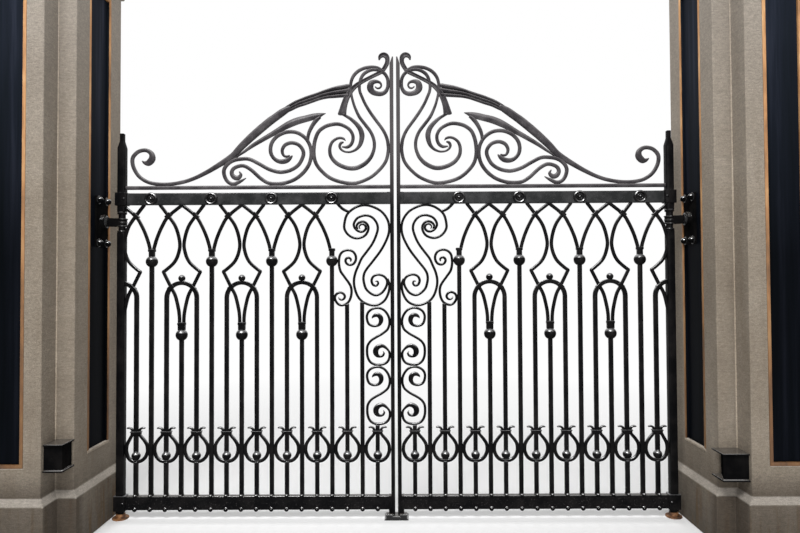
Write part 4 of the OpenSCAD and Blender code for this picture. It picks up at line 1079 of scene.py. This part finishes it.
def rib_web(shape):
    """Thin web behind the ribs."""
    sweep(shape, crest_line(RIB_WEB), BAR_D - 10, FLAT, 0)


# Piers
def panel_edge(shape, u, y, w, d):
    """Upright lath as high as the dark panels."""
    post(shape, u, PANEL_Z, PANEL_TOP, w, d, y=y, step=90, uneven=0.3)


def panel_frames(shape):
    """Amber laths round the dark panels."""
    half = LATH_W / 2
    y = FRONT_Y + 1 + FRONT_LATH_D / 2
    for u in (FRONT_PANEL[0] + half, FRONT_PANEL[1] - half):
        panel_edge(shape, u, y, LATH_W, FRONT_LATH_D)
    for z in (PANEL_Z + half, PANEL_TOP - half):
        beam(shape, *FRONT_PANEL, z - half, z + half, FRONT_LATH_D, y=y, step=120, uneven=0.3)
    panel_edge(shape, *STREET_EDGE)
    panel_edge(shape, *GARDEN_EDGE)
    lath(shape, *PANEL_HEAD)


def panel_lip(shape):
    panel_edge(shape, *GARDEN_LIP)


def pale_beads(shape):
    """Sill under the reveal's panel, and the bead down the notched corner."""
    lath(shape, *PANEL_SILL)
    u, y = (at - 3 for at in NOTCH_CORNER)
    post(shape, u, PLINTH_TOP + 1, PIER_H - 1, BEAD_W, BEAD_W, y=y, step=120, uneven=0.3)


def hinge_fittings(shape):
    """Rims of the four nuts, the boss, and the rings round the strap."""
    for y in (-1, 1):
        for z in (-1, 1):
            turned(shape, PLATE_FACE_U, PLATE_Y + y * NUT_DX / 2, HINGE_Z + z * NUT_DZ / 2, NUT_RIM, "u", 32)
    turned(shape, BOSS_U, PLATE_Y, HINGE_Z, BOSS, "u", FINE)
    for rise, outer, height in STRAP_RINGS:
        hoop_round(shape, HINGE_U, HINGE_Z + rise, JOURNAL_R + 1, outer, height)


# Pieces of a leaf, trim of a pier, and CAD nodes that stay, with their edges eased
LEAF_PIECES = (
    ("hinge_stile", hinge_stile, GATE_IRON),
    ("meeting_stile", meeting_stile, STILE_IRON_PAINTED_SKY),
    ("bottom_rail", bottom_rail, CHIPPED_IRON),
    ("top_rail", top_rail, RAIL_IRON_PAINTED_SKY),
    ("thin_rail", thin_rail, CREST_IRON_PAINTED_SKY),
    ("rosettes", rosettes, ROSETTE_IRON_PAINTED_HIGHLIGHT),
    ("long_pickets", long_pickets, GATE_IRON),
    ("drop_pickets", drop_pickets, GATE_IRON),
    ("short_pickets", short_pickets, GATE_IRON),
    ("tracery", tracery, GATE_IRON),
    ("lyres", lyres, GATE_IRON),
    ("s_scrolls", s_scrolls, GATE_IRON),
    ("heart_scroll", heart_scroll, GATE_IRON),
    ("side_scroll", side_scroll, GATE_IRON),
    ("crest_lyre", crest_lyre, CREST_IRON_PAINTED_SKY),
    ("crest_scrolls", crest_scrolls, CREST_IRON_PAINTED_SKY),
    ("swan_neck", swan_neck, CREST_IRON_PAINTED_SKY))
PIER_PIECES = (
    ("panel_frames", panel_frames, "dark_panel", TRIM),
    ("panel_lip", panel_lip, "dark_panel", DARK_PANEL),
    ("pale_beads", pale_beads, "stucco", PALE_STUCCO),
    ("hinge_fittings", hinge_fittings, "bracket_iron", STRAP_IRON))
EASED_NODES = (
    ("hinge_bracket", 0.002, BRACKET_IRON),
    ("corner_box", 0.002, BRACKET_IRON),
    ("pivot_socket", 0.002, RUSTY_IRON),
    ("pier", 0.006, STUCCO),
    ("pier_cap", 0.006, STUCCO),
    ("pier_panels", 0.002, DARK_PANEL))

for side_name in SIDES:
    leaf = side_name + "_leaf"
    for part, part_maker, paint in LEAF_PIECES:
        make(side_name + "_forged_" + part, part_maker, side_name, leaf, paint,
             side_name + "_" + part)
    make(side_name + "_rib_web", rib_web, side_name, leaf, GATE_IRON)
    for part, part_maker, part_slot, paint in PIER_PIECES:
        make(side_name + "_" + part, part_maker, side_name, "masonry", paint)
    for part, eased, paint in EASED_NODES:
        soften(side_name + "_" + part, eased, paint)
soften("ground_stop", 0.003, STRAP_IRON)

# Floor, backdrop, light and camera, in metres
CENTRE = (2.25, 0.1, 1.6)
FLOOR = 60
SHADOW_R = 2.2
WHITE_R = 6.0
SKY = 0.45
SENSOR_W = 36
LENS = 27
CAMERA_AT = (2.295, -3.8815, 1.567)
YAW = math.radians(0.22)
LIFT = math.radians(1.25)
ROLL = math.radians(0.275)


def floor_material():
    """Pale floor that keeps the shadow near the gate and fades to white further away."""
    material, tree, shader = new_material("studio_floor")
    wire(tree, shader, {"Roughness": 0.9, "Base Color": (0.80, 0.80, 0.80, 1)})
    centred = node(tree, "ShaderNodeVectorMath", {0: place(tree), 1: (CENTRE[0], CENTRE[1], 0)},
                   operation="SUBTRACT")
    away = node(tree, "ShaderNodeVectorMath", {0: centred.outputs[0]}, operation="LENGTH")
    glow = node(tree, "ShaderNodeEmission", {"Color": (1, 1, 1, 1), "Strength": 1.0})
    both = node(tree, "ShaderNodeMixShader", {
        0: share(tree, away.outputs["Value"], SHADOW_R, WHITE_R), 1: shader.outputs[0], 2: glow.outputs[0]})
    wire(tree, tree.nodes["Material Output"], {"Surface": both.outputs[0]})
    return material


floor_mesh = bpy.data.meshes.new("studio_floor")
floor_mesh.from_pydata([(-FLOOR, -FLOOR, 0), (FLOOR, -FLOOR, 0), (FLOOR, FLOOR, 0), (-FLOOR, FLOOR, 0)], [],
                       [(0, 1, 2, 3)])
floor_mesh.materials.append(floor_material())
floor = bpy.data.objects.new("studio_floor", floor_mesh)
bpy.context.scene.collection.objects.link(floor)


def world():
    """Soft light all round, and plain white where the camera or a reflection sees the background."""
    made = bpy.data.worlds.new("studio")
    bpy.context.scene.world = made
    made.use_nodes = True
    tree = made.node_tree
    tree.nodes.clear()
    path = node(tree, "ShaderNodeLightPath")
    seen = calc(tree, "ADD", path.outputs["Is Camera Ray"], path.outputs["Is Glossy Ray"])
    seen = node(tree, "ShaderNodeMath", {0: seen, 1: path.outputs["Is Transmission Ray"]},
                operation="ADD", use_clamp=True)
    light = node(tree, "ShaderNodeBackground", {"Color": (1, 1, 1, 1), "Strength": SKY})
    white = node(tree, "ShaderNodeBackground", {"Color": (1, 1, 1, 1), "Strength": 1.0})
    both = node(tree, "ShaderNodeMixShader", {0: seen.outputs[0], 1: light.outputs[0], 2: white.outputs[0]})
    node(tree, "ShaderNodeOutputWorld", {"Surface": both.outputs[0]})


world()


def lamp(name, at, size, power, mirrored=True):
    data = bpy.data.lights.new(name, "AREA")
    data.shape = "RECTANGLE"
    data.size, data.size_y = size
    data.energy = power
    made = bpy.data.objects.new(name, data)
    made.location = at
    made.visible_glossy = mirrored
    made.rotation_euler = (Vector(CENTRE) - Vector(at)).to_track_quat("-Z", "Y").to_euler()
    bpy.context.scene.collection.objects.link(made)


lamp("key", (0.7, -5.0, 8.0), (5, 2.6), 720)
lamp("fill", (4.5, -9.0, 3.5), (5, 4), 300)
lamp("back", (2.25, 4.6, 8.5), (5, 2.5), 320, mirrored=False)

camera_data = bpy.data.cameras.new("photo_view")
camera_data.sensor_width = SENSOR_W
camera_data.lens = LENS
camera = bpy.data.objects.new("photo_view", camera_data)
bpy.context.scene.collection.objects.link(camera)
bpy.context.scene.camera = camera
forward = Vector((-math.sin(YAW) * math.cos(LIFT), math.cos(YAW) * math.cos(LIFT), math.sin(LIFT)))
right = forward.cross(Vector((0, 0, 1))).normalized()
up = right.cross(forward)
rolled_right = right * math.cos(ROLL) - up * math.sin(ROLL)
rolled_up = up * math.cos(ROLL) + right * math.sin(ROLL)
turn = Matrix((rolled_right, rolled_up, -forward)).transposed().to_4x4()
camera.matrix_world = Matrix.Translation(CAMERA_AT) @ turn

bpy.context.scene.view_settings.view_transform = "Standard"
